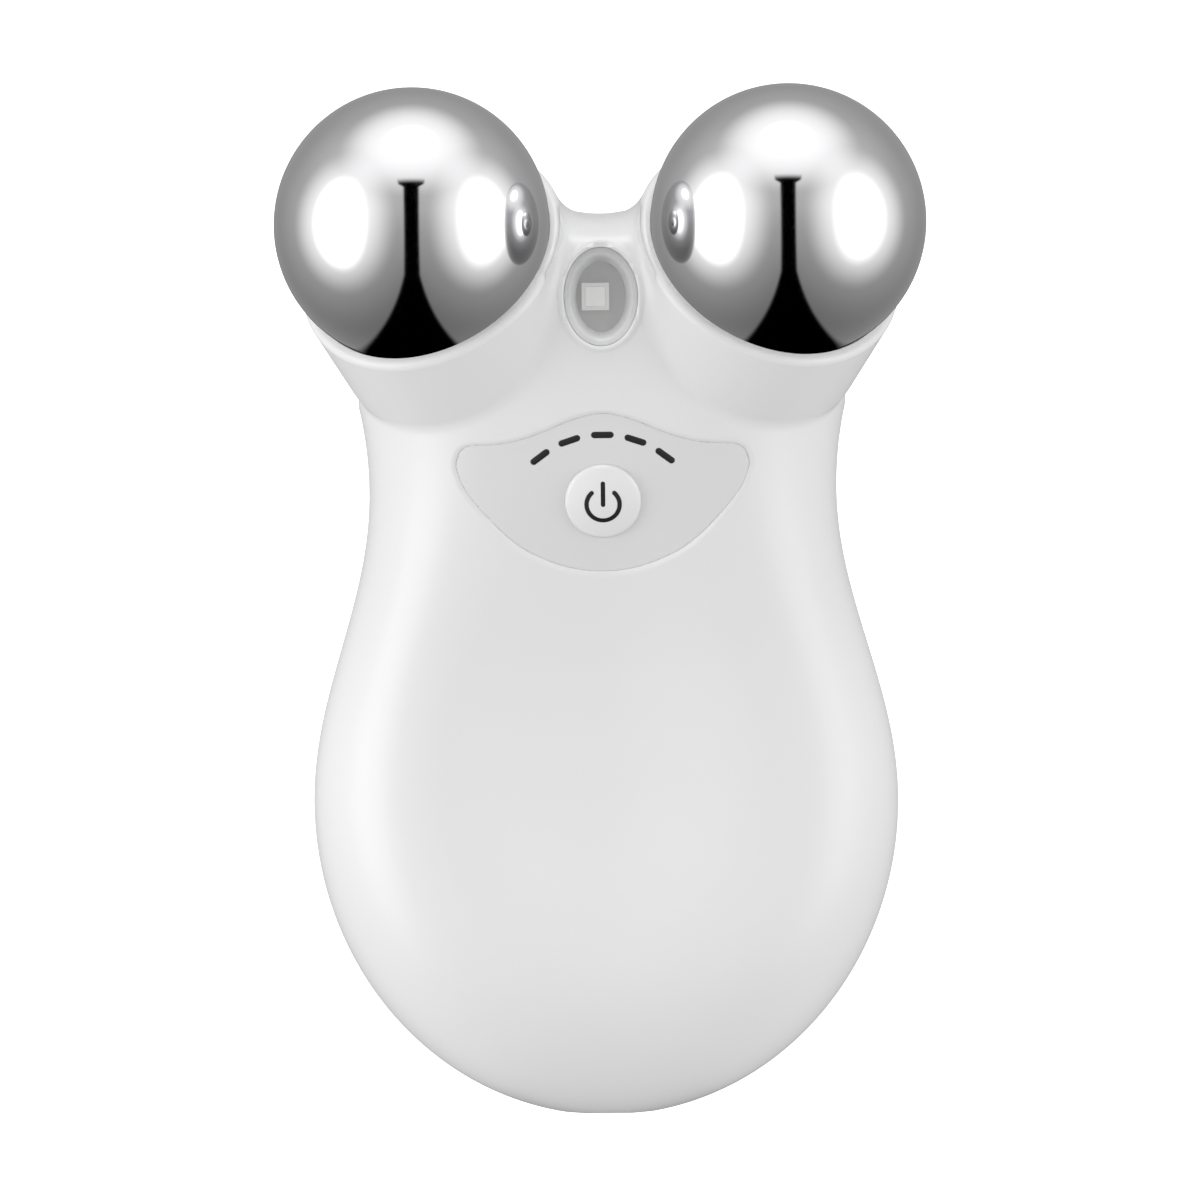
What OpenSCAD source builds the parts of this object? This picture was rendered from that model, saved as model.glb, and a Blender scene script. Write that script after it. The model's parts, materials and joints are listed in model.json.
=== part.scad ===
// Facial toning device: a palm-held body whose forked head carries two metal balls.
// It lies on its back. +Z is the button side, +Y points to the balls, and +X is to the
// right of someone who looks at the button side. Millimetres.

/* [Body] */
// Length over all, from the bottom end to the top of the balls
overall_l = 112; // [108:0.5:116]
// Width of the palm, the widest place of the body
palm_w = 63.5; // [61:0.5:68]
// Distance from the bottom end to the widest place
palm_from_end = 34.3; // [32:0.1:37]
// Width of the neck
neck_w = 50.8; // [49:0.2:53]
// Distance from the ball end of the device back to the neck
neck_from_end = 44; // [42:0.5:46]
// Distance from the ball end back to the edge of the bridge between the balls
bridge_from_end = 13.7; // [12.5:0.1:15]
// Depth of the hollow in that edge, from the corners of the head
saddle_d = 2; // [1:0.1:2.4]
// Radius of that hollow as seen from above
saddle_r = 8.6; // [8.2:0.1:10]
// Height of the long ridges beside the thumb dish
ridge_h = 27; // [26:0.1:29]
// Height of the head over the window
head_h = 34.5; // [33.5:0.1:36]
// Depth of the thumb dish
dish_d = 4.2; // [2:0.1:5]
// Wall of the two shells
wall = 2; // [1.6:0.1:2.2]
// Height of the widest line of the body at the neck
part_h = 12.66; // [12.26:0.1:13.06]

/* [Balls] */
// Diameter of a ball
ball_d = 30; // [29:0.1:30.6]
// Distance between the centres of the balls
ball_spread = 41; // [40:0.1:43]
// Height of the centres of the balls over the back
ball_h = 31.5; // [31:0.1:33]
// Wall of a hollow ball
ball_wall = 0.9; // [0.7:0.1:1.4]
// Angle by which each ball axis leans outwards
splay = 31; // [28:1:34]
// Angle by which each ball axis rises to the button side
tilt = 45; // [42:1:48]
// Diameter of the collar round each ball
collar_d = 30.4; // [29:0.1:30.8]
// Distance from the centre of a ball back to the rim of its collar
rim_drop = 5.5; // [5:0.1:7.5]
// Clearance between a ball and its socket
ball_gap = 0.1; // [0.05:0.01:0.2]
// Thickness of the cup behind a ball
cup_wall = 2; // [1.6:0.1:2.2]
// Cord thickness of the seal under a ball
seal_d = 1.4; // [1:0.1:1.6]
// Distance from the centre of a ball back to its seal
seal_drop = 11; // [10:0.1:11.8]
// Diameter of the boss inside a ball that takes its screw
boss_d = 6.4; // [6:0.1:7]

/* [Control panel] */
// Distance from the ball end back to the centre of the button
button_from_end = 45.3; // [44:0.1:47]
// Width of the shield shaped panel
panel_w = 31.9; // [30:0.1:33]
// Distance from the button centre up to the tip of the panel
panel_up = 9.8; // [9.4:0.1:10.4]
// Distance from the button centre down to the foot of the panel
panel_down = 8; // [7.6:0.1:9]
// Depth of the pocket that holds the panel, at the button
panel_t = 3; // [2.8:0.1:3.2]
// Gap round the panel in its pocket
panel_gap = 0.12; // [0.08:0.01:0.2]
// Diameter of the button
button_d = 8.3; // [7.6:0.1:8.8]
// Height of the dome of the button over the panel
button_dome = 0.9; // [0.6:0.1:1.2]
// Gap round the button in the panel
button_gap = 0.1; // [0.08:0.01:0.2]
// Travel of the button
button_travel = 0.3; // [0.2:0.05:0.35]
// Number of indicator bars
bar_count = 5; // [3:1:5]
// Radius of the arc that the bars lie on
bar_arc_r = 11.1; // [10.8:0.1:11.4]
// Distance from the button centre down to the centre of that arc
bar_arc_down = 4; // [3.7:0.05:4.2]
// Angle from one bar to the next
bar_step = 18.9; // [17:0.1:19.5]
// Length of a bar
bar_l = 2.4; // [2:0.1:2.6]
// Width of a bar
bar_w = 0.65; // [0.6:0.05:0.8]

/* [Window] */
// Distance from the ball end back to the centre of the window
window_from_end = 23; // [22.5:0.1:23.5]
// Width of the window
window_w = 8.1; // [7.6:0.1:8.4]
// Length of the window
window_l = 10.8; // [10:0.1:11.2]
// Thickness of the lens
lens_t = 1.2; // [1:0.1:1.5]
// Depth of the window from its surface to the light board
window_depth = 5; // [4.6:0.1:5.4]
// Wall of the reflector at its sides
reflector_wall = 1.2; // [1:0.1:1.4]
// Side of the light chip behind the window
chip_side = 3; // [2.6:0.1:3.4]
// Distance of the chip to the left of the middle
chip_left = 0.6; // [0:0.1:0.8]

/* [Electronics] */
// Width of the main board
board_w = 29; // [27:0.5:30]
// Distance from the button centre to the upper end of the main board
board_up = 9.5; // [9.3:0.1:10]
// Distance from the button centre to the lower end of the main board
board_down = 25; // [23.5:0.5:26]
// Thickness of the boards
board_t = 1; // [0.8:0.1:1.2]
// Depth of the main board under the panel surface
board_depth = 10; // [9.8:0.1:10.4]
// Width of the battery
battery_w = 25; // [20:0.5:27]
// Length of the battery
battery_l = 30; // [26:0.5:32]
// Thickness of the battery
battery_t = 5.6; // [4.5:0.1:6]
// Thickness of the foam pad under the battery
pad_t = 0.6; // [0.4:0.1:1]
// Distance from the widest place of the body up to the middle of the battery
battery_up = 2.7; // [2:0.1:3.2]
// Width of the charging board
charge_board_w = 13; // [12.6:0.1:14]
// Length of the charging board
charge_board_l = 8; // [7.6:0.1:8.4]
// Side of the switch under the button
switch_side = 5.2; // [4.8:0.1:5.6]
// Height of the switch without its plunger
switch_h = 1.9; // [1.7:0.1:2.1]
// Side of the controller chip
chip_w = 7; // [5:0.5:8]
// Diameter of the coil
coil_d = 6.4; // [5:0.1:7]
// Height of the coil
coil_h = 3; // [2.4:0.1:3.4]
// Width of the charging socket
socket_w = 8.94; // [8.9:0.01:9]
// Height of the charging socket
socket_h = 3.26; // [3.2:0.01:3.3]
// Length of the charging socket
socket_l = 7.4; // [6.8:0.1:8]
// Diameter of the insulated leads
lead_d = 1; // [0.8:0.1:1.2]

/* [Fasteners] */
// Diameter of the case screws
case_screw_d = 2.4; // [2:0.1:2.6]
// Diameter of the screws that hold the balls
ball_screw_d = 2.4; // [2:0.1:2.6]
// Diameter of the screws that hold the boards
board_screw_d = 1.9; // [1.6:0.1:2]
// Clearance of a screw in a plain hole
screw_gap = 0.15; // [0.1:0.01:0.25]
// Clearance of a screw in the hole that holds its thread
thread_gap = 0.05; // [0.03:0.01:0.08]

/* [Hidden] */
$fn = 64;

// Places along the body, with the middle of the overall length at zero
bottom_y = -overall_l / 2;
top_y = overall_l / 2;
palm_y = bottom_y + palm_from_end;
neck_y = top_y - neck_from_end;
bridge_y = top_y - bridge_from_end;
head_end = bridge_y + saddle_d;
button_y = top_y - button_from_end;
window_y = top_y - window_from_end;
neck_flare_l = 9.2;
head_y = neck_y + neck_flare_l;
ball_r = ball_d / 2;
ball_y = top_y - ball_r;
ball_x = ball_spread / 2;

// Longer than anything here, for cuts that run right out of the part
reach = 150;

// Shape of the body: exponents of its rounded sections and ends
top_square = 3;
top_round = 2.2;
back_square = 2.4;
part_slope = 0.055;
flat_cut = 0.6;
back_flat_up = 6;
back_flat_end = neck_y + back_flat_up;
back_rise = 0.0155;
neck_flare = 0.0125;
rise_down = 20;
rise_start = neck_y - rise_down;
rise_power = 1.6;
head_round_up = 12;
head_round_from = neck_y + head_round_up;
dish_from_end = 6;
dish_fall = 30;
dish_rise = 34;
top_points = 20;
back_points = 16;

function smooth(t) = let (u = max(0, min(1, t))) u * u * (3 - 2 * u);
function part_z(y) = part_h + part_slope * (y - neck_y);
function over(x, power, root) = pow(max(0, 1 - pow(max(0, x), power)), 1 / root);

// Half width of the body at y, drawn in by inset
function half_w(y, inset) =
    let (palm = palm_w / 2 - inset, neck = neck_w / 2 - inset)
    y <= palm_y ? palm * over((palm_y - y) / (palm_from_end - inset), 2, 2)
    : y <= neck_y
        ? neck + (palm - neck) * (1 + cos(180 * (y - palm_y) / (neck_y - palm_y))) / 2
    : (neck + neck_flare * pow(min(y, head_y) - neck_y, 2))
        * over((y - head_y) / (head_end - inset - head_y), 3.2, 2.2);

// How far the ends draw the section in towards the parting plane
function end_round(y, inset) =
    y <= palm_y ? over((palm_y - y) / (palm_from_end - inset), 3, 2)
    : over((y - head_round_from) / (head_end - inset - head_round_from), 4.5, 2.3);

function ridge_z(y) = ridge_h + (head_h - ridge_h)
    * pow(max(0, (y - rise_start) / (window_y - rise_start)), rise_power);
function back_z(y) = back_rise * pow(max(0, y - back_flat_end), 2) - flat_cut;
function dish(x, y) =
    let (u = min(1, abs(x) / (0.85 * half_w(y, 0) + 0.01)))
    dish_d * smooth((y - bottom_y - dish_from_end) / dish_fall)
        * smooth((back_flat_end - y) / dish_rise) * pow(1 - u * u, 2);
function top_h(y, inset) = (ridge_z(y) - inset - part_z(y)) * end_round(y, inset);
function back_h(y, inset) = (part_z(y) - back_z(y) - inset) * end_round(y, inset);

// Height of the outer surface on the button side
function skin_z(x, y) =
    part_z(y) + top_h(y, 0) * over(abs(x) / half_w(y, 0), top_square, top_round) - dish(x, y);

function section(y, inset) =
    let (w = half_w(y, inset), h = top_h(y, inset), d = back_h(y, inset), p = part_z(y))
    concat(
        [for (i = [0 : top_points - 1])
            let (a = 180 * i / top_points, c = cos(a),
                 x = w * sign(c) * pow(abs(c), 2 / top_square))
            [x, y, p + h * pow(sin(a), 2 / top_round) - (i == 0 ? 0 : dish(x, y))]],
        [for (i = [0 : back_points - 1])
            let (a = 180 * i / back_points, c = -cos(a))
            [w * sign(c) * pow(abs(c), 2 / back_square), y,
             p - d * pow(sin(a), 2 / back_square)]]);

function stations(inset) = concat(
    [for (a = [88, 80, 71, 62, 52, 42, 31, 20, 10]) palm_y - (palm_from_end - inset) * sin(a)],
    [for (i = [0 : 10]) palm_y + (head_y - palm_y) * i / 10],
    [for (a = [12, 24, 35, 45, 54, 62, 69, 75, 81, 86])
        head_y + (head_end - inset - head_y) * sin(a)]);

// Closed solid through rings of points that all have the same count
module skin_rings(rings) {
    n = len(rings[0]);
    last = len(rings) - 1;
    polyhedron(
        points = [for (ring = rings, point = ring) point],
        faces = concat(
            [[for (k = [n - 1 : -1 : 0]) k]],
            [for (i = [0 : last - 1], k = [0 : n - 1])
                [i * n + k, (i + 1) * n + (k + 1) % n, (i + 1) * n + k]],
            [for (i = [0 : last - 1], k = [0 : n - 1])
                [i * n + k, i * n + (k + 1) % n, (i + 1) * n + (k + 1) % n]],
            [[for (k = [0 : n - 1]) last * n + k]]));
}

module body_form(inset) {
    skin_rings([for (y = stations(inset)) section(y, inset)]);
}

// ---- places -------------------------------------------------------------------------

// Frame of one ball: origin at its centre, +Z out of the collar along its axis
module at_ball(side) {
    translate([side * ball_x, ball_y, ball_h]) rotate([tilt - 90, 0, -side * splay])
        children();
}

// Frame of the panel: origin on the skin at the button centre, +Z out of the skin
panel_z = skin_z(0, button_y);
panel_tilt = atan((skin_z(0, button_y + 4) - skin_z(0, button_y - 4)) / 8);
module at_panel() {
    translate([0, button_y, panel_z]) rotate([panel_tilt, 0, 0]) children();
}

// A point of the panel frame, in the frame of the whole device
function from_panel(x, y, z) = [
    x,
    button_y + y * cos(panel_tilt) - z * sin(panel_tilt),
    panel_z + y * sin(panel_tilt) + z * cos(panel_tilt)];

// A point of the middle plane of a ball frame, in the frame of the whole device
function from_ball(side, y, z) =
    let (ahead = z * cos(tilt) + y * sin(tilt)) [
    side * (ball_x + ahead * sin(splay)),
    ball_y + ahead * cos(splay),
    ball_h + z * sin(tilt) - y * cos(tilt)];

// The shells part on a plane a little behind the widest line of the body
seam_drop = 0.25;
module above_parting() {
    translate([0, neck_y, part_h - seam_drop]) rotate([atan(part_slope), 0, 0])
        translate([-reach, -reach, 0]) cube(2 * reach);
}

module below_parting() {
    intersection() {
        translate([0, neck_y, part_h - seam_drop]) rotate([atan(part_slope), 0, 0])
            translate([-reach, -reach, -2 * reach]) cube(2 * reach);
        translate([-reach, -reach, 0]) cube(2 * reach);
    }
}

// A tube along a route; up is any direction that the route never follows
module sweep(route, r, up) {
    n = 8;
    last = len(route) - 1;
    skin_rings([for (i = [0 : last])
        let (ahead = route[min(last, i + 1)] - route[max(0, i - 1)],
             t = ahead / norm(ahead), c = cross(up, t), u = c / norm(c), v = cross(t, u))
        [for (k = [0 : n - 1]) route[i] + r * (cos(360 * k / n) * u - sin(360 * k / n) * v)]]);
}

// A smooth route through a few chosen points
function eased(p, steps) = concat(
    [for (i = [0 : len(p) - 2], s = [0 : steps - 1])
        let (t = s / steps, a = p[max(0, i - 1)], b = p[i], c = p[i + 1],
             d = p[min(len(p) - 1, i + 2)])
        0.5 * (2 * b + (c - a) * t + (2 * a - 5 * b + 4 * c - d) * t * t
            + (3 * b - a - 3 * c + d) * t * t * t)],
    [p[len(p) - 1]]);

// ---- balls and collars --------------------------------------------------------------

socket_r = ball_r + ball_gap;
seat_cut = 0.6;
seat_z = seat_cut - ball_r;
web_step = 0.2;
web_z = -(socket_r + cup_wall + web_step);
boss_r = boss_d / 2;
boss_l = 8;
boss_rim = 0.6;
tab_t = 0.4;
tab_w = 2.4;
tab_tail = 6;
ball_head_h = 1.5;
ball_screw_l = 8;
collar_end = 19;
collar_slim = 0.3;
collar_foot = 6;
seal_gap = 0.03;

// The collar, slimmer by a hair where it dives into the head, with its foot bevelled off
module collar_outer(side) {
    foot_r = collar_d / 2 - collar_slim;
    at_ball(side) translate([0, 0, -collar_end]) {
        cylinder(h = collar_end - rim_drop, r1 = foot_r, r2 = collar_d / 2);
        translate([0, 0, -collar_foot])
            cylinder(h = collar_foot, r1 = foot_r - collar_foot, r2 = foot_r);
    }
}

// The cup that closes the collar behind the ball
module collar_cup(side) {
    at_ball(side) {
        intersection() {
            sphere(r = socket_r + cup_wall);
            translate([0, 0, -reach]) cylinder(h = reach - rim_drop, r = ball_d);
        }
        translate([0, 0, web_z]) cylinder(h = cup_wall, r = boss_r + boss_rim);
    }
}

// Everything that is cut away for one ball, its seal and its screw
module collar_cuts(side) {
    at_ball(side) {
        intersection() {
            sphere(r = socket_r);
            translate([0, 0, seat_z]) cylinder(h = reach, r = ball_d);
        }
        translate([0, 0, -rim_drop]) cylinder(h = ball_d, r = collar_d / 2 + 1);
        seal_ring(seal_d / 2 + seal_gap);
        translate([0, 0, web_z - 1])
            cylinder(h = seat_z - web_z + 2, r = ball_screw_d / 2 + screw_gap);
    }
}

// Ring that touches the ball a third of the way down its socket
module seal_ring(cord_r) {
    seal_dist = ball_r + seal_d / 2 + seal_gap;
    rotate_extrude()
        translate([sqrt(seal_dist * seal_dist - seal_drop * seal_drop), -seal_drop])
        circle(r = cord_r, $fn = 24);
}

module ball(side) {
    at_ball(side) difference() {
        union() {
            difference() {
                sphere(r = ball_r, $fn = 96);
                sphere(r = ball_r - ball_wall, $fn = 96);
            }
            intersection() {
                sphere(r = ball_r - ball_wall / 2);
                translate([0, 0, -ball_r]) cylinder(h = boss_l, r = boss_r);
            }
        }
        translate([0, 0, -2 * ball_r]) cylinder(h = 2 * ball_r + seat_z, r = ball_r);
        translate([0, 0, -ball_r - 1])
            cylinder(h = boss_l, r = ball_screw_d / 2 + thread_gap);
    }
}

module left_ball() { color("silver") ball(-1); }
module right_ball() { color("silver") ball(1); }
module left_ball_seal() { color("gainsboro") at_ball(-1) seal_ring(seal_d / 2); }
module right_ball_seal() { color("gainsboro") at_ball(1) seal_ring(seal_d / 2); }

module ball_screws() {
    color("slategray") for (side = [-1, 1]) at_ball(side) {
        translate([0, 0, web_z - tab_t - ball_head_h]) {
            cylinder(h = ball_head_h, r = ball_screw_d * 0.9);
            cylinder(h = ball_screw_l + ball_head_h, r = ball_screw_d / 2);
        }
    }
}

// Ring terminal with a tail that points to the middle of the neck
module contact_tab(side) {
    at_ball(side) translate([0, 0, web_z - tab_t]) difference() {
        union() {
            cylinder(h = tab_t, r = boss_r);
            translate([-tab_w / 2, -tab_tail, 0]) cube([tab_w, tab_tail, tab_t]);
        }
        translate([0, 0, -tab_t]) cylinder(h = 3 * tab_t, r = ball_screw_d / 2 + screw_gap);
    }
}
module left_contact_tab() { color("goldenrod") contact_tab(-1); }
module right_contact_tab() { color("goldenrod") contact_tab(1); }

// ---- control panel ------------------------------------------------------------------

// Half of the outline of the shield, from its tip down to its foot
half_shield = [
    [0, 1], [0.11, 0.975], [0.245, 0.905], [0.39, 0.8], [0.53, 0.713], [0.67, 0.653],
    [0.81, 0.62], [0.905, 0.6], [0.965, 0.54], [0.992, 0.447], [1, 0.36], [0.985, 0.27],
    [0.948, 0.125], [0.853, -0.095], [0.77, -0.27], [0.69, -0.433], [0.61, -0.57],
    [0.525, -0.69], [0.43, -0.79], [0.32, -0.885], [0.2, -0.955], [0.1, -0.99], [0, -1]];
function shield(grow) =
    let (half = [for (p = half_shield)
        [p[0] * (panel_w / 2 + grow),
         p[1] > 0 ? p[1] * (panel_up + grow) : p[1] * (panel_down + grow)]])
    concat(half, [for (i = [len(half) - 2 : -1 : 1]) [-half[i][0], half[i][1]]]);

button_r = button_d / 2;
flange_r = button_r + 0.8;
flange_t = 0.8;
flange_gap = 0.05;
stem_r = 1.8;
pocket_floor = 2;
pocket_wall = 1.4;
flange_room = button_travel + flange_t + 3 * flange_gap;

function bar_turn(index) = (index - (bar_count - 1) / 2) * bar_step;

// Frame of one bar of the arc above the button; the arc is round as seen from straight above
module at_bar(index) {
    turn = bar_turn(index);
    y = (bar_arc_r * cos(turn) - bar_arc_down) / cos(panel_tilt);
    translate([bar_arc_r * sin(turn), y, 0]) rotate([0, 0, -turn]) children();
}

// One bar, straight up from z0 to z1
module indicator_bar(index, z0, z1, grow) {
    at_bar(index) translate([0, 0, z0]) {
            for (end = [-1, 1]) translate([end * (bar_l - bar_w) / 2, 0, 0])
                cylinder(h = z1 - z0, r = bar_w / 2 + grow, $fn = 24);
            translate([(bar_w - bar_l) / 2, -bar_w / 2 - grow, 0])
                cube([bar_l - bar_w, bar_w + 2 * grow, z1 - z0]);
        }
}

bar_gap = 0.05;

// Column with the outline of the panel, from z0 up out of the body
module panel_column(z0, grow) {
    translate([0, 0, z0]) linear_extrude(height = board_depth) polygon(shield(grow));
}

module control_panel() {
    color("gainsboro") difference() {
        intersection() {
            body_form(0);
            at_panel() panel_column(-panel_t, 0);
        }
        at_panel() {
            translate([0, 0, -board_depth])
                cylinder(h = 2 * board_depth, r = button_r + button_gap);
            for (i = [0 : bar_count - 1]) indicator_bar(i, -board_depth, board_depth, bar_gap);
        }
    }
}

dome_rise = 0.15;
stem_gap = 0.02;
module power_button() {
    dome_r = (button_r * button_r + button_dome * button_dome) / (2 * button_dome);
    color("white") at_panel() {
        translate([0, 0, -panel_t - flange_gap - flange_t]) cylinder(h = flange_t, r = flange_r);
        intersection() {
            translate([0, 0, -panel_t - flange_t]) cylinder(h = board_depth, r = button_r);
            translate([0, 0, button_dome + dome_rise - dome_r]) sphere(r = dome_r, $fn = 96);
        }
        translate([0, 0, plunger_top + stem_gap])
            cylinder(h = -plunger_top - stem_gap - panel_t - flange_gap, r = stem_r);
    }
}

// The bars of the guide hang from one bow under the pocket of the panel
guide_bow_t = 1.05;
guide_bow_w = 3;
guide_inset = 0.02;
indicator_led_h = 0.7;
module indicator_light_guide() {
    bow_r = bar_arc_r + 0.3;
    bow_x = bar_arc_r * sin(bar_turn(bar_count - 1)) + bar_l / 2 + 0.4;
    color("dimgray") {
        intersection() {
            body_form(guide_inset);
            at_panel() for (i = [0 : bar_count - 1])
                indicator_bar(i, -board_depth + indicator_led_h + 0.15, board_depth, 0);
        }
        at_panel() translate([0, -bar_arc_down, -panel_t - pocket_floor - guide_bow_t - 0.05])
            intersection() {
                difference() {
                    cylinder(h = guide_bow_t, r = bow_r + guide_bow_w / 2);
                    translate([0, 0, -1])
                        cylinder(h = guide_bow_t + 2, r = bow_r - guide_bow_w / 2);
                }
                translate([-bow_x, bar_arc_down, -1]) cube([2 * bow_x, bow_r * 2, 3]);
            }
    }
}

module indicator_leds() {
    led = [1.6, 0.8, indicator_led_h];
    color("lemonchiffon") at_panel() for (i = [0 : bar_count - 1]) at_bar(i)
        translate([-led[0] / 2, -led[1] / 2, -board_depth]) cube(led);
}

// ---- tact switch --------------------------------------------------------------------

plunger_r = 1.2;
plunger_gap = 0.05;
plunger_out = 0.8;
plunger_l = 1.7;
plunger_top = -board_depth + switch_h + plunger_out;

module tact_switch_body() {
    color("dimgray") at_panel() translate([0, 0, -board_depth]) difference() {
        translate([-switch_side / 2, -switch_side / 2, 0])
            cube([switch_side, switch_side, switch_h]);
        translate([0, 0, switch_h + plunger_out - plunger_l - button_travel - 2 * plunger_gap])
            cylinder(h = switch_h, r = plunger_r + plunger_gap);
    }
}

module tact_switch_plunger() {
    color("black") at_panel() translate([0, 0, plunger_top - plunger_l])
        cylinder(h = plunger_l, r = plunger_r);
}

// ---- window -------------------------------------------------------------------------

window_top = skin_z(0, window_y);
window_floor = window_top - window_depth;
lens_gap = 0.05;
lens_sink = 0.1;
lens_under = window_top - lens_sink - lens_t - 0.3;
window_wall = 1.3;
function oval(w, l) = [for (a = [0 : 7.5 : 352.5]) [w / 2 * cos(a), l / 2 * sin(a)]];

module window_column(grow, z0, z1) {
    translate([0, window_y, z0]) linear_extrude(height = z1 - z0)
        polygon(oval(window_w + 2 * grow, window_l + 2 * grow));
}

module window_lens() {
    color("white", 0.4) intersection() {
        body_form(lens_sink);
        window_column(-lens_gap, lens_under, window_top + lens_t);
    }
}

led_board_t = 0.8;
led_h = 0.9;
module window_reflector() {
    color("darkgray") difference() {
        window_column(-lens_gap, window_floor, lens_under - lens_gap);
        window_column(-reflector_wall, window_floor - 1, window_top);
    }
}

module window_led() {
    color("khaki") translate([-chip_left - chip_side / 2, window_y - chip_side / 2, window_floor])
        cube([chip_side, chip_side, led_h]);
}

module window_led_board() {
    color("white") window_column(-lens_gap, window_floor - led_board_t, window_floor);
}

// ---- boards and parts on them -------------------------------------------------------

// Screw posts of the main board: two near its lower end and two beside the button
post_in = 2.6;
post_up = 1.2;
post_end = 4;
post_r = 2.2;
board_posts = [for (s = [-1, 1], y = [post_end - board_down, post_up])
    [s * (board_w / 2 - post_in), y]];

module main_board() {
    color("darkgreen") at_panel() difference() {
        translate([-board_w / 2, -board_down, -board_depth - board_t])
            cube([board_w, board_up + board_down, board_t]);
        for (p = board_posts) translate([p[0], p[1], -board_depth - 2 * board_t])
            cylinder(h = 3 * board_t, r = board_screw_d / 2 + screw_gap);
    }
}

module on_board(x, y) {
    at_panel() translate([x, y, -board_depth]) children();
}

// Places of the parts on the main board, from the centre of the button
chip_at = [-7, -9];
chip_t = 1;
coil_at = [6.5, -12];
coil_well = 1.2;
capacitor_at = [4, -6.4];
capacitor_step = 3;
capacitor = [1.2, 2, 1];
connector = [6, 4, 2.6];

module controller_chip() {
    color("black") on_board(chip_at[0], chip_at[1]) translate([-chip_w / 2, -chip_w / 2, 0])
        cube([chip_w, chip_w, chip_t]);
}

module boost_coil() {
    color("saddlebrown") on_board(coil_at[0], coil_at[1]) difference() {
        cylinder(h = coil_h, r = coil_d / 2);
        translate([0, 0, coil_h - coil_well]) cylinder(h = coil_h, r = coil_d / 4);
    }
}

module filter_capacitors() {
    color("tan") for (i = [0 : 2])
        on_board(capacitor_at[0] + capacitor_step * i, capacitor_at[1])
            translate([-capacitor[0] / 2, -capacitor[1] / 2, 0]) cube(capacitor);
}

// Under the main board, in front of the battery
connector_up = 9.5;
connector_y = connector_up - board_down;
module battery_connector() {
    color("ivory") on_board(0, connector_y)
        translate([-connector[0] / 2, -connector[1] / 2, -board_t - connector[2]])
            cube(connector);
}

// ---- power --------------------------------------------------------------------------

floor_z = wall;
battery_y = palm_y + battery_up;
battery_z = floor_z + pad_t;
pad_in = 2;

module battery_pad() {
    color("dimgray")
        translate([pad_in - battery_w / 2, battery_y - battery_l / 2 + pad_in, floor_z])
            cube([battery_w - 2 * pad_in, battery_l - 2 * pad_in, pad_t]);
}

module battery() {
    side_r = battery_t / 2;
    color("silver") translate([0, battery_y + battery_l / 2, battery_z + side_r])
        rotate([90, 0, 0]) {
            for (s = [-1, 1]) translate([s * (battery_w / 2 - side_r), 0, 0])
                cylinder(h = battery_l, r = side_r);
            translate([side_r - battery_w / 2, -side_r, 0])
                cube([battery_w - 2 * side_r, battery_t, battery_l]);
        }
}

socket_in = 0.5;
socket_y = bottom_y + socket_in;
socket_z = part_z(bottom_y);
socket_wall = 0.3;
socket_gap = 0.15;
tongue_t = 0.7;
tongue_side = 1.17;
charge_board_t = 0.8;
charge_z = socket_z - socket_h / 2 - charge_board_t;
charge_y = socket_y + 4.2;

// Solid with the round-ended section of the socket, along Y
module socket_slot(y0, l, grow) {
    r = socket_h / 2 + grow;
    half = socket_w / 2 - socket_h / 2;
    translate([0, y0 + l, socket_z]) rotate([90, 0, 0]) {
        for (s = [-1, 1]) translate([s * half, 0, 0]) cylinder(h = l, r = r);
        translate([-half, -r, 0]) cube([2 * half, 2 * r, l]);
    }
}

module charging_socket() {
    tongue_w = socket_w - 2 * tongue_side;
    color("silver") {
        difference() {
            socket_slot(socket_y, socket_l, 0);
            socket_slot(socket_y - 1, socket_l, -socket_wall);
        }
        translate([-tongue_w / 2, socket_y + 1, socket_z - tongue_t / 2])
            cube([tongue_w, socket_l - 1.5, tongue_t]);
    }
}

charge_post_in = 2.1;
charge_post_r = 1.9;
charge_posts = [for (s = [-1, 1])
    [s * (charge_board_w / 2 - charge_post_in), charge_y + charge_board_l - charge_post_r]];
module charging_board() {
    color("darkgreen") difference() {
        translate([-charge_board_w / 2, charge_y, charge_z])
            cube([charge_board_w, charge_board_l, charge_board_t]);
        for (p = charge_posts) translate([p[0], p[1], 0])
            cylinder(h = part_h, r = board_screw_d / 2 + screw_gap);
    }
}

// ---- leads --------------------------------------------------------------------------

lead_r = lead_d / 2;
module ball_lead(side) {
    under_tab = web_z - tab_t - lead_r - 0.2;
    x = board_w / 2 - 3.2;
    sweep(eased([
        from_ball(side, 1.2 - tab_tail, under_tab), from_ball(side, -1.2 - tab_tail, under_tab),
        from_panel(side * x, board_up - 1.6, -board_depth + 2.6),
        from_panel(side * x, board_up - 2.2, -board_depth + 0.12)], 5), lead_r, [1, 0, 0]);
}
module left_ball_lead() { color("red") ball_lead(-1); }
module right_ball_lead() { color("red") ball_lead(1); }

module window_led_leads() {
    start = window_floor - led_board_t - 0.1;
    color("yellow") for (s = [-1, 1]) sweep(eased([
        [s, window_y - 2, start], [s, window_y - 2.4, start - 3],
        from_panel(s * 1.2, board_up + 0.6, -board_depth + 3.4),
        from_panel(s * 1.6, board_up - 0.8, -board_depth + 1.6),
        from_panel(s * 1.6, board_up - 0.9, -board_depth + 0.12)], 4), lead_r * 0.8, [1, 0, 0]);
}

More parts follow.
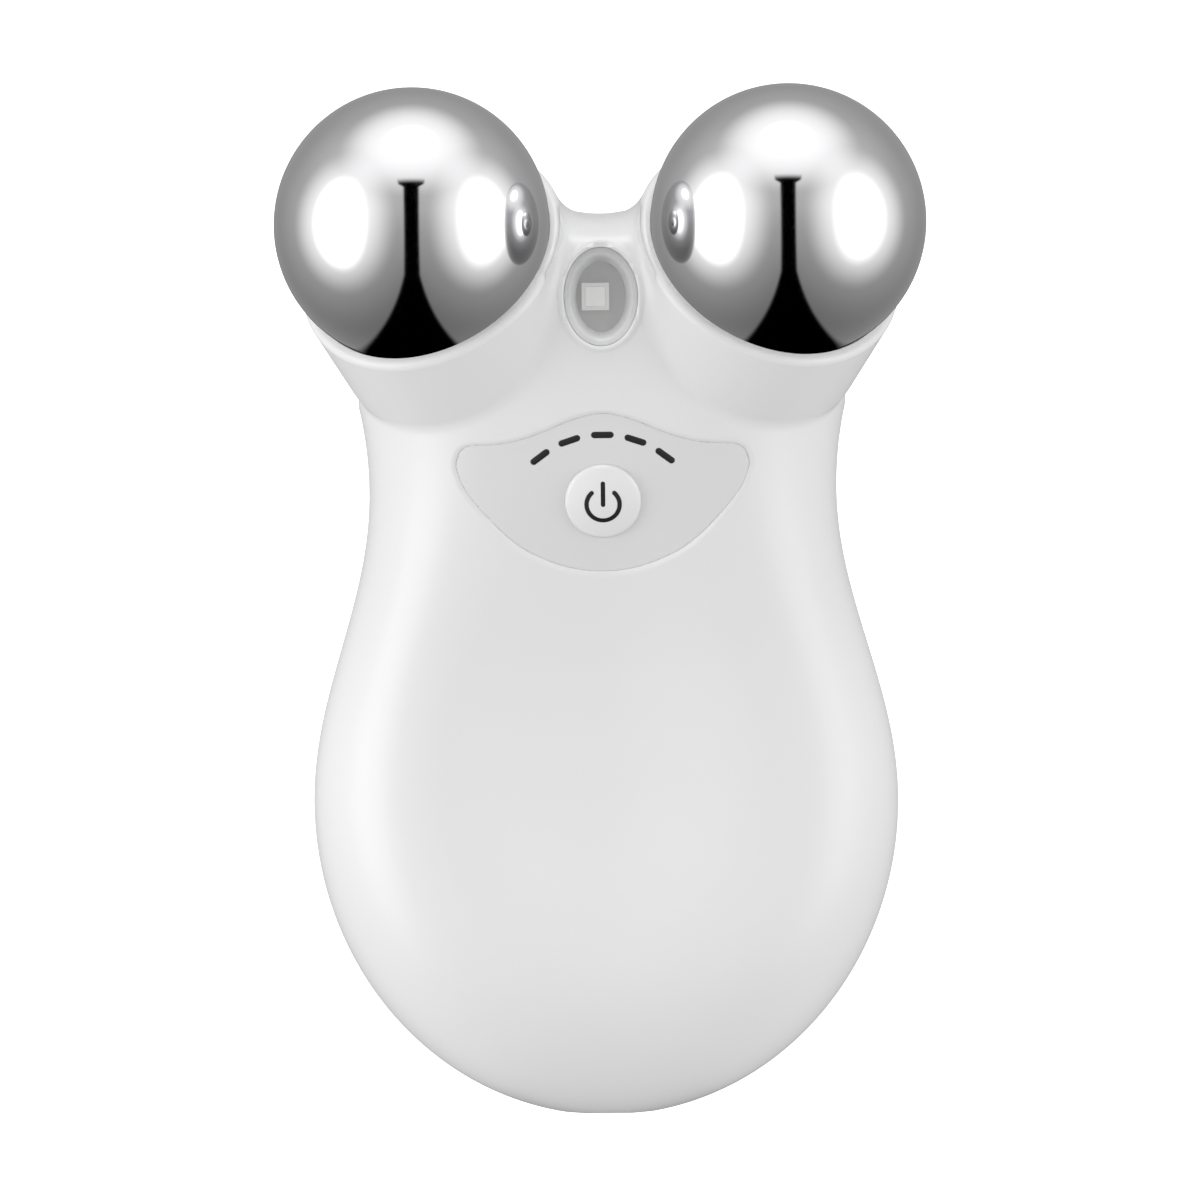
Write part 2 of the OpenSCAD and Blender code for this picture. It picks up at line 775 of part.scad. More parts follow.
module battery_leads() {
    front = battery_y + battery_l / 2;
    middle = battery_z + battery_t / 2;
    under = -board_depth - board_t - 1.3;
    color("crimson") for (s = [-1, 1]) sweep(eased([
        [s * 2, front + 0.1, middle], [s * 2, front + 2.6, middle + 0.6],
        from_panel(s * 1.4, connector_y + 4, under - 0.9),
        from_panel(s * 1.4, connector_y + 2.1, under)], 5), lead_r, [1, 0, 0]);
}

module charging_leads() {
    color("navy") for (s = [-1, 1]) sweep(eased([
        [s * 2, charge_y + charge_board_l - 1, charge_z + 1.4],
        [s * 2.2, charge_y + charge_board_l + 1.6, charge_z + 3.4],
        [s * 6, battery_y, battery_z + battery_t + lead_r + 0.1],
        from_panel(s * 8, -board_down - 0.8, -board_depth + 2.4),
        from_panel(s * 8, -board_down + 1.4, -board_depth + 1.9),
        from_panel(s * 8, -board_down + 1.6, -board_depth + 0.12)], 4), lead_r, [1, 0, 0]);
}

// ---- fasteners ----------------------------------------------------------------------

palm_post_in = 9.25;
palm_post_down = 2.3;
neck_post_in = 6.3;
case_posts = concat(
    [for (s = [-1, 1]) [s * (palm_w / 2 - palm_post_in), palm_y - palm_post_down]],
    [for (s = [-1, 1]) [s * (neck_w / 2 - neck_post_in), neck_y]]);
case_post_r = 3.2;
case_head_r = 2.1;
case_head_z = 5;
case_head_h = 1.5;
case_screw_top = 20;
head_gap = 0.3;
plug_inset = 0.3;
plug_gap = 0.05;

module case_screws() {
    color("slategray") for (p = case_posts) translate([p[0], p[1], case_head_z]) {
        cylinder(h = case_head_h, r = case_head_r);
        cylinder(h = case_screw_top - case_head_z, r = case_screw_d / 2);
    }
}

// Soft plugs that follow the back a little below its surface
module screw_plugs() {
    color("whitesmoke") intersection() {
        body_form(plug_inset);
        for (p = case_posts) translate([p[0], p[1], 0])
            cylinder(h = case_head_z - 2 * plug_gap, r = case_head_r + head_gap - plug_gap);
    }
}

board_head_h = 0.9;
board_screw_l = 4.5;

// A screw of the boards: head on z = 0, shank down
module board_screw(l) {
    cylinder(h = board_head_h, r = board_screw_d * 0.85);
    translate([0, 0, -l]) cylinder(h = l + board_head_h, r = board_screw_d / 2);
}

charge_screw_l = 2.8;
module board_screws() {
    color("slategray") {
        at_panel() for (p = board_posts) translate([p[0], p[1], -board_depth - board_t])
            rotate([180, 0, 0]) board_screw(board_screw_l);
        for (p = charge_posts) translate([p[0], p[1], charge_z + charge_board_t])
            board_screw(charge_screw_l);
    }
}

// ---- shells -------------------------------------------------------------------------

// Upright column that hollows the edge between the balls
module saddle(grow) {
    translate([0, bridge_y + saddle_r, -1]) cylinder(h = reach, r = saddle_r + grow, $fn = 96);
}

module outer_form() {
    difference() {
        body_form(0);
        saddle(0);
    }
    for (side = [-1, 1]) collar_outer(side);
}

// Depth of a threaded hole beyond the end of its screw
screw_end = 0.6;

// Everything that stands inside the front shell
module front_ribs() {
    saddle(wall);
    for (side = [-1, 1]) collar_cup(side);
    at_panel() {
        panel_column(-panel_t - pocket_floor, pocket_wall);
        for (p = board_posts) translate([p[0], p[1], -board_depth])
            cylinder(h = 2 * board_depth, r = post_r);
    }
    window_column(window_wall, window_floor - led_board_t, window_top + window_depth);
    for (p = case_posts) translate([p[0], p[1], 0]) cylinder(h = head_h, r = case_post_r);
}

module front_shell() {
    color("white") difference() {
        intersection() {
            union() outer_form();
            above_parting();
        }
        difference() {
            body_form(wall);
            front_ribs();
        }
        for (side = [-1, 1]) collar_cuts(side);
        at_panel() {
            panel_column(-panel_t, panel_gap);
            translate([0, 0, -panel_t - flange_room])
                cylinder(h = panel_t, r = flange_r + button_gap);
            translate([0, 0, -board_depth]) cylinder(h = board_depth, r = stem_r + 2 * button_gap);
            for (i = [0 : bar_count - 1]) indicator_bar(i, -board_depth, panel_t, bar_gap);
            for (p = board_posts) translate([p[0], p[1], -board_depth - board_t])
                cylinder(h = board_screw_l + screw_end, r = board_screw_d / 2 + thread_gap);
        }
        window_column(0, window_floor - 2 * led_board_t, window_top + window_depth);
        for (p = case_posts) translate([p[0], p[1], 0])
            cylinder(h = case_screw_top + screw_end, r = case_screw_d / 2 + thread_gap);
        socket_slot(bottom_y - 2, socket_l + 3, socket_gap);
    }
}

// Low walls that keep the battery in its place
rib_t = 1.2;
rib_h = 4;
tray_gap = 0.2;
lead_way = 10;
module battery_tray() {
    w = battery_w + 2 * tray_gap;
    l = battery_l + 2 * tray_gap;
    h = floor_z + rib_h;
    translate([-w / 2 - rib_t, battery_y - l / 2 - rib_t, 0]) difference() {
        cube([w + 2 * rib_t, l + 2 * rib_t, h]);
        translate([rib_t, rib_t, -1]) cube([w, l, h + 2]);
        translate([rib_t + (w - lead_way) / 2, l, -1]) cube([lead_way, 3 * rib_t, h + 2]);
    }
}

foot_rim = 0.4;
module rear_ribs() {
    saddle(wall);
    battery_tray();
    for (p = case_posts) translate([p[0], p[1], 0])
        cylinder(h = head_h, r = case_post_r + foot_rim);
    for (p = charge_posts) translate([p[0], p[1], 0]) cylinder(h = charge_z, r = charge_post_r);
    translate([-reach, -reach, 0]) cube([2 * reach, 2 * reach, floor_z]);
}

module rear_shell() {
    color("white") difference() {
        intersection() {
            union() outer_form();
            below_parting();
        }
        difference() {
            body_form(wall);
            rear_ribs();
        }
        for (side = [-1, 1]) collar_cuts(side);
        for (p = case_posts) translate([p[0], p[1], -1]) {
            cylinder(h = head_h, r = case_screw_d / 2 + screw_gap);
            cylinder(h = 1 + case_head_z + case_head_h, r = case_head_r + head_gap);
        }
        for (p = charge_posts) translate([p[0], p[1], charge_z - charge_screw_l])
            cylinder(h = part_h, r = board_screw_d / 2 + thread_gap);
        socket_slot(bottom_y - 2, socket_l + 3, socket_gap);
    }
}

front_shell();
rear_shell();
left_ball();
right_ball();
left_ball_seal();
right_ball_seal();
ball_screws();
left_contact_tab();
right_contact_tab();
left_ball_lead();
right_ball_lead();
control_panel();
power_button();
indicator_light_guide();
indicator_leds();
tact_switch_body();
tact_switch_plunger();
window_lens();
window_reflector();
window_led();
window_led_board();
window_led_leads();
main_board();
controller_chip();
boost_coil();
filter_capacitors();
battery();
battery_pad();
battery_leads();
battery_connector();
charging_socket();
charging_board();
charging_leads();
case_screws();
board_screws();
screw_plugs();
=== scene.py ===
"""Looks of a palm-held facial toning device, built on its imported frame.

Sizes in the classes are millimetres in the part's own frame: the device lies on its
back, +Z is the button side, +Y points to the balls and +X is to the right of someone who
looks at the button side. A finished mesh is scaled to metres.
"""

import json
import logging
import math
from dataclasses import dataclass, field
from enum import Enum
from typing import Callable, Sequence

import bpy
import numpy as np
from mathutils import Matrix, Vector
from mathutils.bvhtree import BVHTree


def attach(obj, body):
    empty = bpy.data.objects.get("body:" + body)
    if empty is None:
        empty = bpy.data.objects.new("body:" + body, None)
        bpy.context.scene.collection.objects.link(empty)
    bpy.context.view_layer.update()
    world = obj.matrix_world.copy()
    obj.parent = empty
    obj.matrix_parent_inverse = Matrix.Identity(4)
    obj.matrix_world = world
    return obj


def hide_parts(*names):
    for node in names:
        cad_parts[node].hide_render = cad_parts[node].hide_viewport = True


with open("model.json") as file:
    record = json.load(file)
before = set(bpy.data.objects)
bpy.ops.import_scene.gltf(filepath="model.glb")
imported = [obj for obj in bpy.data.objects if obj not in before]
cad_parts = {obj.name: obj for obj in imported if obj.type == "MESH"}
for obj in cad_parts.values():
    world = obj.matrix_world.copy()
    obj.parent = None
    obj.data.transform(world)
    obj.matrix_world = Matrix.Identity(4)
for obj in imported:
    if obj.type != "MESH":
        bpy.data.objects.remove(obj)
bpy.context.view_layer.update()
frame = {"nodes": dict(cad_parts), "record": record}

MM = 0.001
BELOW, ABOVE = -5.0, 60.0  # Heights under and over all that a tool cuts
SQUARE = np.array([(-1, -1), (1, -1), (1, 1), (-1, 1)], float)
FAR, HIGH = 90.0, 80.0  # Half width and height of a tool that takes one side of a plane
log = logging.getLogger("toning_device")
Thing = bpy.types.Object


def over(x: np.ndarray, power: float, root: float) -> np.ndarray:
    """Rounded fall from 1 to 0, as along a superellipse.

    Args:
        x: Share of the way to the end; at 1 and beyond the result is 0.
        power: Exponent of the share.
        root: Root taken of what is left.

    Returns:
        The height that is left at each share.
    """
    return np.maximum(0.0, 1.0 - np.maximum(0.0, x) ** power) ** (1.0 / root)


def smooth(t: np.ndarray) -> np.ndarray:
    """Eased step from 0 to 1 over t from 0 to 1."""
    u = np.clip(t, 0.0, 1.0)
    return u * u * (3.0 - 2.0 * u)


def splined(points: Sequence[tuple[float, float]], steps: int) -> np.ndarray:
    """Closed smooth curve through corner points.

    Args:
        points: The corners, in order, without a repeated end.
        steps: Points made for each stretch between two corners.

    Returns:
        An (n, 2) array of points.
    """
    p = np.array(points, float)
    out = []
    for i in range(len(p)):
        a, b, c, d = (p[(i + k) % len(p)] for k in (-1, 0, 1, 2))
        for t in np.arange(steps) / steps:
            out.append(0.5 * (2 * b + (c - a) * t + (2 * a - 5 * b + 4 * c - d) * t * t
                              + (3 * b - a - 3 * c + d) * t ** 3))
    return np.array(out)


def eased_most(a: np.ndarray, a_way: np.ndarray, b: np.ndarray, b_way: np.ndarray,
               blend: float) -> tuple[np.ndarray, np.ndarray, np.ndarray]:
    """The larger of two distances, with a soft change from one to the other.

    Args:
        a: The first distances.
        a_way: The directions in which they grow.
        b: The second distances.
        b_way: The directions in which those grow.
        blend: Width of the change.

    Returns:
        The distances, the directions in which they grow and the share of the first.
    """
    h = np.clip(0.5 + 0.5 * (a - b) / blend, 0, 1)
    way = b_way * (1 - h)[:, None] + a_way * h[:, None]
    return b * (1 - h) + a * h + blend * h * (1 - h), way, h


class Bench:
    """Adds, shapes and finishes meshes with Blender's own operators."""

    @staticmethod
    def clear() -> None:
        """Leaves edit mode and deselects everything."""
        if bpy.context.object and bpy.context.object.mode != "OBJECT":
            bpy.ops.object.mode_set(mode="OBJECT")
        bpy.ops.object.select_all(action="DESELECT")

    @staticmethod
    def take(obj: Thing) -> None:
        """Makes obj the only selected and active object.

        Args:
            obj: The object.
        """
        Bench.clear()
        obj.select_set(True)
        bpy.context.view_layer.objects.active = obj

    @staticmethod
    def coords(obj: Thing) -> np.ndarray:
        """Vertex positions of obj as an (n, 3) array.

        Args:
            obj: The object of the mesh.

        Returns:
            (n, 3) positions.
        """
        out = np.empty(len(obj.data.vertices) * 3)
        obj.data.vertices.foreach_get("co", out)
        return out.reshape(-1, 3)

    @staticmethod
    def place(obj: Thing, points: np.ndarray) -> None:
        """Gives the vertices of obj new positions."""
        obj.data.vertices.foreach_set("co", np.ascontiguousarray(points).ravel())
        obj.data.update()

    @staticmethod
    def moved(points: np.ndarray, matrix: Matrix) -> np.ndarray:
        """Points taken through a placing matrix."""
        m = np.array(matrix)
        return points @ m[:3, :3].T + m[:3, 3]

    @staticmethod
    def named(name: str) -> Thing:
        """Names the primitive just added, with its scale and turn applied.

        Args:
            name: Its new name.

        Returns:
            The object.
        """
        obj = bpy.context.object
        obj.name = name
        obj.data.name = name
        bpy.ops.object.transform_apply(location=True, rotation=True, scale=True)
        return obj

    @staticmethod
    def ball(name: str, segments: int, rings: int, pole: str = "Z") -> Thing:
        """Unit sphere with its poles on an axis.

        Args:
            name: Name of the new object.
            segments: Faces round the axis.
            rings: Faces along it.
            pole: "Y" or "Z".

        Returns:
            The new object.
        """
        Bench.clear()
        turn = (math.pi / 2, 0, 0) if pole == "Y" else (0, 0, 0)
        bpy.ops.mesh.primitive_uv_sphere_add(
            segments=segments, ring_count=rings, radius=1, rotation=turn)
        return Bench.named(name)

    @staticmethod
    def prism(name: str, outline: np.ndarray, low: float, high: float,
              matrix: Matrix = Matrix.Identity(4)) -> Thing:
        """Upright solid on a closed outline.

        Args:
            name: Name of the new object.
            outline: (n, 2) points of its foot.
            low: Height of the foot.
            high: Height of the top.
            matrix: Where the solid goes.

        Returns:
            The new object.
        """
        Bench.clear()
        bpy.ops.mesh.primitive_circle_add(vertices=len(outline), fill_type="NGON")
        obj = Bench.named(name)
        Bench.place(obj, np.column_stack([outline, np.full(len(outline), low)]))
        bpy.ops.object.mode_set(mode="EDIT")
        bpy.ops.mesh.select_all(action="SELECT")
        bpy.ops.mesh.extrude_region_move(TRANSFORM_OT_translate={"value": (0, 0, high - low)})
        bpy.ops.mesh.select_all(action="SELECT")
        bpy.ops.mesh.normals_make_consistent(inside=False)
        Bench.clear()
        Bench.place(obj, Bench.moved(Bench.coords(obj), matrix))
        return obj

    @staticmethod
    def lathe(name: str, profile: Sequence[tuple[float, float]], steps: int,
              matrix: Matrix = Matrix.Identity(4)) -> Thing:
        """Solid of revolution about Z.

        Args:
            name: Name of the new object.
            profile: (radius, height) points. A profile that starts and ends on the axis
                stays open there, and any other is closed into a loop.
            steps: Faces round the axis.
            matrix: Where the solid goes.

        Returns:
            The new object.
        """
        Bench.clear()
        bpy.ops.mesh.primitive_circle_add(vertices=len(profile), fill_type="NOTHING")
        obj = Bench.named(name)
        Bench.place(obj, np.array([(r, 0.0, z) for r, z in profile]))
        is_open = abs(profile[0][0]) < 1e-6 and abs(profile[-1][0]) < 1e-6
        ends = {0, len(profile) - 1}
        for edge in obj.data.edges:
            edge.select = is_open and set(edge.vertices) == ends
        for vertex in obj.data.vertices:
            vertex.select = False
        bpy.context.tool_settings.mesh_select_mode = (False, True, False)
        bpy.ops.object.mode_set(mode="EDIT")
        if is_open:
            bpy.ops.mesh.delete(type="EDGE")
        bpy.ops.mesh.select_all(action="SELECT")
        bpy.ops.mesh.spin(steps=steps, angle=2 * math.pi, center=(0, 0, 0), axis=(0, 0, 1))
        bpy.ops.mesh.select_all(action="SELECT")
        bpy.ops.mesh.remove_doubles(threshold=1e-4)
        bpy.ops.mesh.normals_make_consistent(inside=False)
        Bench.clear()
        Bench.place(obj, Bench.moved(Bench.coords(obj), matrix))
        return obj

    @staticmethod
    def sheet(name: str, along: int, across: int,
              fit: Callable[[np.ndarray, np.ndarray], np.ndarray], thick: float) -> Thing:
        """Thin solid bent from a flat grid.

        Args:
            name: Name of the new object.
            along: Faces along the grid.
            across: Faces across it.
            fit: Gives the place of each vertex from its shares (0 to 1) along and across.
            thick: Thickness, laid on downwards.

        Returns:
            The new object.
        """
        Bench.clear()
        bpy.ops.mesh.primitive_grid_add(x_subdivisions=along, y_subdivisions=across, size=2)
        obj = Bench.named(name)
        flat = Bench.coords(obj)
        Bench.place(obj, fit((flat[:, 0] + 1) / 2, (flat[:, 1] + 1) / 2))
        bpy.ops.object.mode_set(mode="EDIT")
        bpy.ops.mesh.select_all(action="SELECT")
        bpy.ops.mesh.remove_doubles(threshold=1e-4)
        Bench.clear()
        wall = obj.modifiers.new("wall", "SOLIDIFY")
        wall.thickness = thick
        wall.offset = -1
        Bench.apply(obj, wall)
        return obj

    @staticmethod
    def apply(obj: Thing, modifier: bpy.types.Modifier) -> None:
        """Applies one modifier of obj."""
        Bench.take(obj)
        bpy.ops.object.modifier_apply(modifier=modifier.name)

    @staticmethod
    def bevel(obj: Thing, width: float) -> None:
        """Rounds the edges of obj in two steps.

        Args:
            obj: What is rounded.
            width: Width of the rounding.
        """
        modifier = obj.modifiers.new("bevel", "BEVEL")
        modifier.width, modifier.segments = width, 2
        Bench.apply(obj, modifier)

    @staticmethod
    def disc(x: float, y: float, radius: float, steps: int) -> np.ndarray:
        """Outline of a circle round x, y."""
        a = np.linspace(0, 2 * np.pi, steps, endpoint=False)
        return np.column_stack([x + radius * np.cos(a), y + radius * np.sin(a)])

    @staticmethod
    def join(objs: Sequence[Thing]) -> Thing:
        """Joins objects into the first of them.

        Args:
            objs: The objects.

        Returns:
            The first of them, which now holds all.
        """
        Bench.clear()
        for obj in objs:
            obj.select_set(True)
        bpy.context.view_layer.objects.active = objs[0]
        bpy.ops.object.join()
        return objs[0]

    @staticmethod
    def copy(obj: Thing, name: str) -> Thing:
        """A copy of obj with a mesh of its own.

        Args:
            obj: What is copied.
            name: Name of the copy.

        Returns:
            The copy.
        """
        Bench.take(obj)
        bpy.ops.object.duplicate()
        new = bpy.context.object
        new.name = name
        new.data.name = name
        return new

    @staticmethod
    def cut(obj: Thing, tool: Thing, how: str = "DIFFERENCE", keep: bool = False) -> None:
        """Cuts obj with a closed tool.

        Args:
            obj: What is cut.
            tool: The closed mesh that cuts it.
            how: DIFFERENCE, INTERSECT or UNION.
            keep: Whether the tool stays for another cut.
        """
        mod = obj.modifiers.new("cut", "BOOLEAN")
        mod.operation = how
        mod.solver = "MANIFOLD"
        mod.object = tool
        Bench.apply(obj, mod)
        if not keep:
            bpy.data.objects.remove(tool)

    @staticmethod
    def refine(obj: Thing, near: np.ndarray, cuts: int) -> None:
        """Splits the faces whose corners are all marked.

        Args:
            obj: The mesh to refine.
            near: One mark for each vertex.
            cuts: Cuts along each edge.
        """
        mesh = obj.data
        total = np.empty(len(mesh.polygons), int)
        mesh.polygons.foreach_get("loop_total", total)
        corner = np.empty(len(mesh.loops), int)
        mesh.loops.foreach_get("vertex_index", corner)
        start = np.concatenate([[0], np.cumsum(total)[:-1]])
        picked = np.logical_and.reduceat(near[corner], start)
        mesh.vertices.foreach_set("select", np.zeros(len(mesh.vertices), bool))
        mesh.edges.foreach_set("select", np.zeros(len(mesh.edges), bool))
        mesh.polygons.foreach_set("select", picked)
        Bench.take(obj)
        bpy.context.tool_settings.mesh_select_mode = (False, False, True)
        bpy.ops.object.mode_set(mode="EDIT")
        bpy.ops.mesh.subdivide(number_cuts=cuts)
        Bench.clear()

    @staticmethod
    def finish(obj: Thing, angle: float) -> Thing:
        """Scales a mesh to metres and shades it smooth up to an angle in degrees.

        Args:
            obj: The piece, in millimetres.
            angle: Edges sharper than this stay sharp.

        Returns:
            The piece.
        """
        Bench.place(obj, Bench.coords(obj) * MM)
        Bench.take(obj)
        bpy.ops.object.shade_smooth_by_angle(angle=math.radians(angle))
        return obj


class NodeMaths:
    """Writes sums with a node tree's own nodes."""

    def __init__(self, tree: bpy.types.NodeTree) -> None:
        """Keeps the tree that the nodes go into."""
        self.tree = tree

    def _math(self, how: str, *values: object) -> bpy.types.NodeSocket:
        """Adds one sum.

        Args:
            how: The operation.
            values: Sockets or numbers.

        Returns:
            The result's socket.
        """
        node = self.tree.nodes.new("ShaderNodeMath")
        node.operation = how
        for slot, value in zip(node.inputs, values):
            if isinstance(value, (int, float)):
                slot.default_value = value
            else:
                self.tree.links.new(value, slot)
        return node.outputs["Value"]

    def add(self, a: object, b: object) -> bpy.types.NodeSocket:
        """a + b."""
        return self._math("ADD", a, b)

    def times(self, a: object, b: object) -> bpy.types.NodeSocket:
        """a times b."""
        return self._math("MULTIPLY", a, b)

    def most(self, a: object, b: object) -> bpy.types.NodeSocket:
        """The larger of a and b."""
        return self._math("MAXIMUM", a, b)

    def size(self, a: object) -> bpy.types.NodeSocket:
        """a without its sign."""
        return self._math("ABSOLUTE", a)

    def mix(self, share: bpy.types.NodeSocket, a: object, b: object) -> bpy.types.NodeSocket:
        """a where share is 0 and b where it is 1."""
        rest = self.times(a, self.add(self.times(share, -1.0), 1.0))
        return self.add(rest, self.times(b, share))

    def ramp(self, value: bpy.types.NodeSocket, low: float, high: float, start: float,
             end: float, eased: bool = False) -> bpy.types.NodeSocket:
        """Value from low to high made to run from start to end.

        Args:
            value: The socket read.
            low: Value at the start.
            high: Value at the end.
            start: Result at low.
            end: Result at high.
            eased: Whether both ends are soft.

        Returns:
            The result's socket.
        """
        node = self.tree.nodes.new("ShaderNodeMapRange")
        node.interpolation_type = "SMOOTHSTEP" if eased else "LINEAR"
        names = ("From Min", "From Max", "To Min", "To Max")
        for name, number in zip(names, (low, high, start, end)):
            node.inputs[name].default_value = number
        self.tree.links.new(value, node.inputs["Value"])
        return node.outputs["Result"]


class Grain(Enum):
    """Fine structure that a finish shows from close by."""

    MOULDED = "moulded"
    MIRROR = "mirror"
    BRUSHED = "brushed"
    TRACKS = "tracks"
    FOAM = "foam"
    WOUND = "wound"
    CLEAR = "clear"


@dataclass(frozen=True)
class Finish:
    """One finish: its colour and how that colour, its gloss and its surface vary."""

    name: str
    color: tuple[float, float, float]
    roughness: float = 0.4
    metallic: float = 0.0
    grain: Grain = Grain.MOULDED
    tone: float = 0.02
    wear: float = 0.05
    cell: float = 0.35
    relief: float = 0.004
    alpha: float = 1.0
    glow: float = 0.0
    cloud: float = 24.0
    stretch: tuple[float, float, float] = (0.06, 1.0, 1.0)

    def material(self) -> bpy.types.Material:
        """Builds the finish from nodes.

        Returns:
            The new material.
        """
        mat = bpy.data.materials.new(self.name)
        mat.use_nodes = True
        tree = mat.node_tree
        maths = NodeMaths(tree)
        shader = tree.nodes["Principled BSDF"]
        shader.inputs["Metallic"].default_value = self.metallic
        shader.inputs["Alpha"].default_value = self.alpha
        # A glow adds emission in the finish's own colour. This is painted light on a part that is no
        # lamp.
        if self.glow:
            shader.inputs["Emission Color"].default_value = (*self.color, 1)
            shader.inputs["Emission Strength"].default_value = self.glow
        where = tree.nodes.new("ShaderNodeTexCoord")
        mapping = tree.nodes.new("ShaderNodeMapping")
        tree.links.new(where.outputs["Object"], mapping.inputs["Vector"])
        if self.grain is Grain.BRUSHED:
            mapping.inputs["Scale"].default_value = self.stretch
        fine = self._pattern(tree, mapping)
        broad = tree.nodes.new("ShaderNodeTexNoise")
        broad.inputs["Scale"].default_value = 1 / (self.cloud * self.cell * MM)
        broad.inputs["Detail"].default_value = 3
        tree.links.new(mapping.outputs["Vector"], broad.inputs["Vector"])
        tint = maths.ramp(broad.outputs["Fac"], 0.0, 1.0, 1 - self.tone, 1 + self.tone)
        dye = tree.nodes.new("ShaderNodeVectorMath")
        dye.operation = "SCALE"
        dye.inputs[0].default_value = self.color
        tree.links.new(tint, dye.inputs["Scale"])
        tree.links.new(dye.outputs["Vector"], shader.inputs["Base Color"])
        gloss = maths.ramp(fine, 0.0, 1.0, max(0.0, self.roughness - self.wear),
                           self.roughness + self.wear)
        tree.links.new(gloss, shader.inputs["Roughness"])
        bump = tree.nodes.new("ShaderNodeBump")
        bump.inputs["Strength"].default_value = 0.6
        bump.inputs["Distance"].default_value = self.relief * MM
        tree.links.new(fine, bump.inputs["Height"])
        tree.links.new(bump.outputs["Normal"], shader.inputs["Normal"])
        return mat

    def _pattern(self, tree: bpy.types.NodeTree, mapping: bpy.types.Node) -> bpy.types.NodeSocket:
        """Adds the fine pattern of the grain.

        Args:
            tree: The material's nodes.
            mapping: The node that gives the place on the piece.

        Returns:
            The socket with the pattern, from 0 to 1.
        """
        if self.grain in (Grain.FOAM, Grain.TRACKS):
            node = tree.nodes.new("ShaderNodeTexVoronoi")
            node.feature = "DISTANCE_TO_EDGE" if self.grain is Grain.TRACKS else "F1"
            out = node.outputs["Distance"]
        elif self.grain is Grain.WOUND:
            node = tree.nodes.new("ShaderNodeTexWave")
            node.bands_direction = "Z"
            out = node.outputs["Fac"]
        else:
            node = tree.nodes.new("ShaderNodeTexNoise")
            node.inputs["Detail"].default_value = 4
            out = node.outputs["Fac"]
        node.inputs["Scale"].default_value = 1 / (self.cell * MM)
        tree.links.new(mapping.outputs["Vector"], node.inputs["Vector"])
        return out


